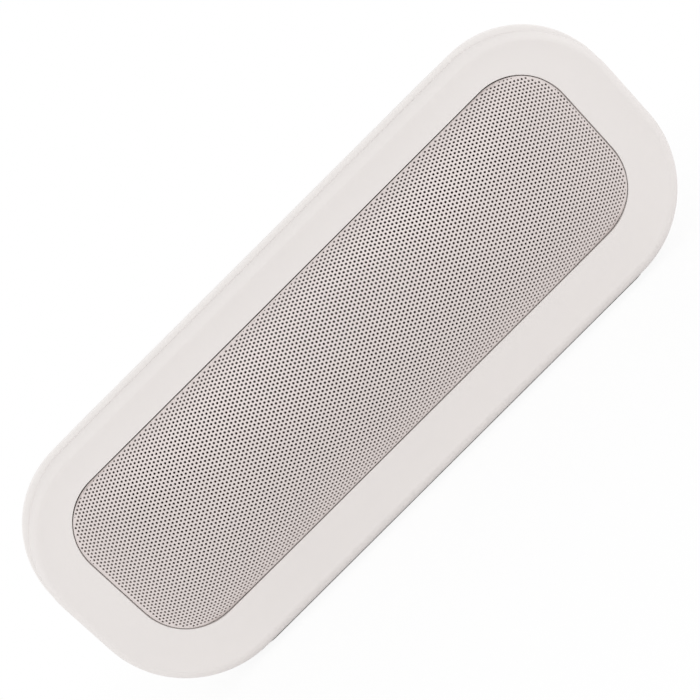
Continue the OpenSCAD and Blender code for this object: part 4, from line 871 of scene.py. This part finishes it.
def build_keys():
    """Each key: over its rounded top edge, down its side, out over the rim that keeps it in the case, and a stem."""
    top, edge = CASE_TOP - KEY_RECESS, KEY_EDGE_R
    rim_top = CEILING_Z - 0.2
    rim = [[0, rim_top], [KEY_RIM_W, rim_top], [KEY_RIM_W, rim_top - KEY_RIM_T]]
    rows = [[-edge - 0.4, top]] + quarter(90, 0, 6, edge, (-edge, top - edge)) + rim
    stem = [[0, CEILING_Z - 0.7], [0, CEILING_Z - 3.2]]
    grey = moulded_plastic("grey_sign", (0.33, 0.32, 0.31), 0.6)
    for kind, x in KEY_XS.items():
        body, here = f"{kind}_key", (x, KEY_Y)
        shell = Shell()
        shell.capped(lying(*obround(KEY_LEN, KEY_W), rows, here))
        shell.capped(lying(*circle(KEY_STEM_R, 40), stem, here))
        make_piece(f"{kind}_cap", *shell.all(), body, "key_plastic", finishes["key_plastic"], [body])
        sign = Shell()
        key_marks(sign, kind, x, top - SIGN_SINK, CASE_TOP - SIGN_TOP)
        make_piece(f"{kind}_sign", *sign.all(), body, "key_plastic", grey)


def build_domes():
    """A snap dome under each key: height * (1 - (r / radius) ^ 2) outside and the same inside, less its thickness.
    Each one gets a mesh of its own.
    """
    base, hollow_r, hollow_h = KEY_BOARD_TOP_Z, DOME_R - DOME_T, DOME_H - DOME_T
    outer, inner = np.linspace(0.2, DOME_R, 12), np.linspace(hollow_r, 0.2, 11)
    rows = np.concatenate([np.column_stack([outer, base + DOME_H * (1 - (outer / DOME_R) ** 2)]),
                           np.column_stack([inner, base + hollow_h * (1 - (inner / hollow_r) ** 2)])])
    for kind, x in KEY_XS.items():
        shell = Shell()
        shell.capped(lying(*circle(steps=40), rows, (x, KEY_Y)))
        dome = make_piece(f"{kind}_dome", *shell.all(), "housing", "steel", finishes["steel"], ["snap_domes"])
        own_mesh(dome)


# Stage, lamps and camera

def build_floor():
    """A wide plain floor just under the foot, white to the camera beyond the speaker's surroundings."""
    half, level = 3000.0, -0.05
    line = np.linspace(-half, half, 3)
    x, y = np.meshgrid(line, line, indexing="ij")
    points = np.stack([x, y, np.full_like(x, level)], axis=-1).reshape(-1, 3)
    faces = [(a, a + 3, a + 4, a + 1) for a in (0, 1, 3, 4)]
    mesh = bpy.data.meshes.new("floor")
    mesh.from_pydata((points * MM).tolist(), [], faces)
    mesh.update()
    floor = bpy.data.objects.new("floor", mesh)
    bpy.context.collection.objects.link(floor)
    f = Finish("pale_floor", Roughness=0.9, Specular_IOR_Level=0.1)
    x, y, _ = f.axes()
    span = x * x + y * y
    dust = f.noise(60.0, 2.0)
    f.shade(Base_Color=mixed(f, dust, (0.95, 0.95, 0.95), (0.98, 0.98, 0.98)))
    away = f.node("ShaderNodeMapRange", {"interpolation_type": "SMOOTHSTEP"},
                  {"Value": span.math("SQRT", span), "From Min": 0.1, "From Max": 0.25})
    white = f.node("ShaderNodeEmission", values={"Color": (1, 1, 1, 1), "Strength": 1.0})
    both = f.node("ShaderNodeMixShader", values={
        0: (away * 0.09 + 0.91) * seen_directly(f), 1: Wire(f, f.shader.outputs[0]), 2: white})
    f.feed(f.tree.nodes["Material Output"].inputs[0], both)
    mesh.materials.append(f.material)


def light_world(strength, front_dip):
    """White to the camera and in reflections, and for light a plain pale dome, a little weaker straight in front."""
    world = bpy.data.worlds.new("studio")
    bpy.context.scene.world = world
    world.use_nodes = True
    w = Nodes(world.node_tree)
    _, y, _ = w.axes(w.node("ShaderNodeTexCoord", output="Generated"))
    towards = y * -1.0
    front = towards.math("MAXIMUM", towards, 0.0)
    level = strength - front.math("POWER", front, 3.0) * front_dip
    lit = w.node("ShaderNodeBackground", values={"Color": (1, 1, 1, 1), "Strength": level})
    seen = w.node("ShaderNodeBackground", values={"Color": (1, 1, 1, 1), "Strength": 1.0})
    both = w.node("ShaderNodeMixShader", values={0: seen_directly(w), 1: lit, 2: seen})
    w.feed(w.tree.nodes["World Output"].inputs[0], both)


def softbox(name, place, aim, size, watts):
    """A square lamp of a size in metres, at a place and facing another."""
    lamp = bpy.data.lights.new(name, "AREA")
    lamp.shape, lamp.size, lamp.energy = "SQUARE", size, watts
    holder = bpy.data.objects.new(name, lamp)
    bpy.context.collection.objects.link(holder)
    direction = Vector(aim) - Vector(place)
    holder.location = place
    holder.rotation_euler = direction.to_track_quat("-Z", "Y").to_euler()


def place_camera():
    """The photograph's viewpoint: a 50.4 mm lens, 8.3 degrees above the level, rolled by 44.94 degrees."""
    eye = (Vector(EYE) + Vector((0.0, 0.0, GRILLE_Z))) * MM
    target = Vector((0.58, CROWN_Y, GRILLE_Z + 2.34)) * MM
    ahead = (target - eye).normalized()
    right = ahead.cross(Vector((0, 0, 1))).normalized()
    up = right.cross(ahead)
    roll = np.radians(44.94)
    tilted_right = np.cos(roll) * right - np.sin(roll) * up
    tilted_up = np.sin(roll) * right + np.cos(roll) * up
    lens = bpy.data.cameras.new("viewpoint")
    lens.lens, lens.sensor_width, lens.clip_start = 50.36, 36.0, 0.01
    camera = bpy.data.objects.new("viewpoint", lens)
    bpy.context.collection.objects.link(camera)
    turned = Matrix((tilted_right, tilted_up, -ahead)).transposed().to_4x4()
    camera.matrix_world = Matrix.Translation(eye) @ turned
    bpy.context.scene.camera = camera


build_bezel()
build_grille()
build_case()
build_foot()
build_keys()
build_domes()
build_floor()
light_world(0.86, 0.1)
softbox("key_lamp", (-0.5, -0.9, 0.9), (0, 0, 0.04), 1.0, 0.5)
softbox("low_lamp", (0.1, -1.0, 0.25), (0, 0, 0.04), 1.0, 1.5)
softbox("left_lamp", (-1.1, -0.25, 0.35), (0, 0, 0.04), 0.8, 1.5)
softbox("right_lamp", (1.1, -0.25, 0.35), (0, 0, 0.04), 0.8, 1.9)
place_camera()
bpy.context.scene.view_settings.view_transform = "Standard"
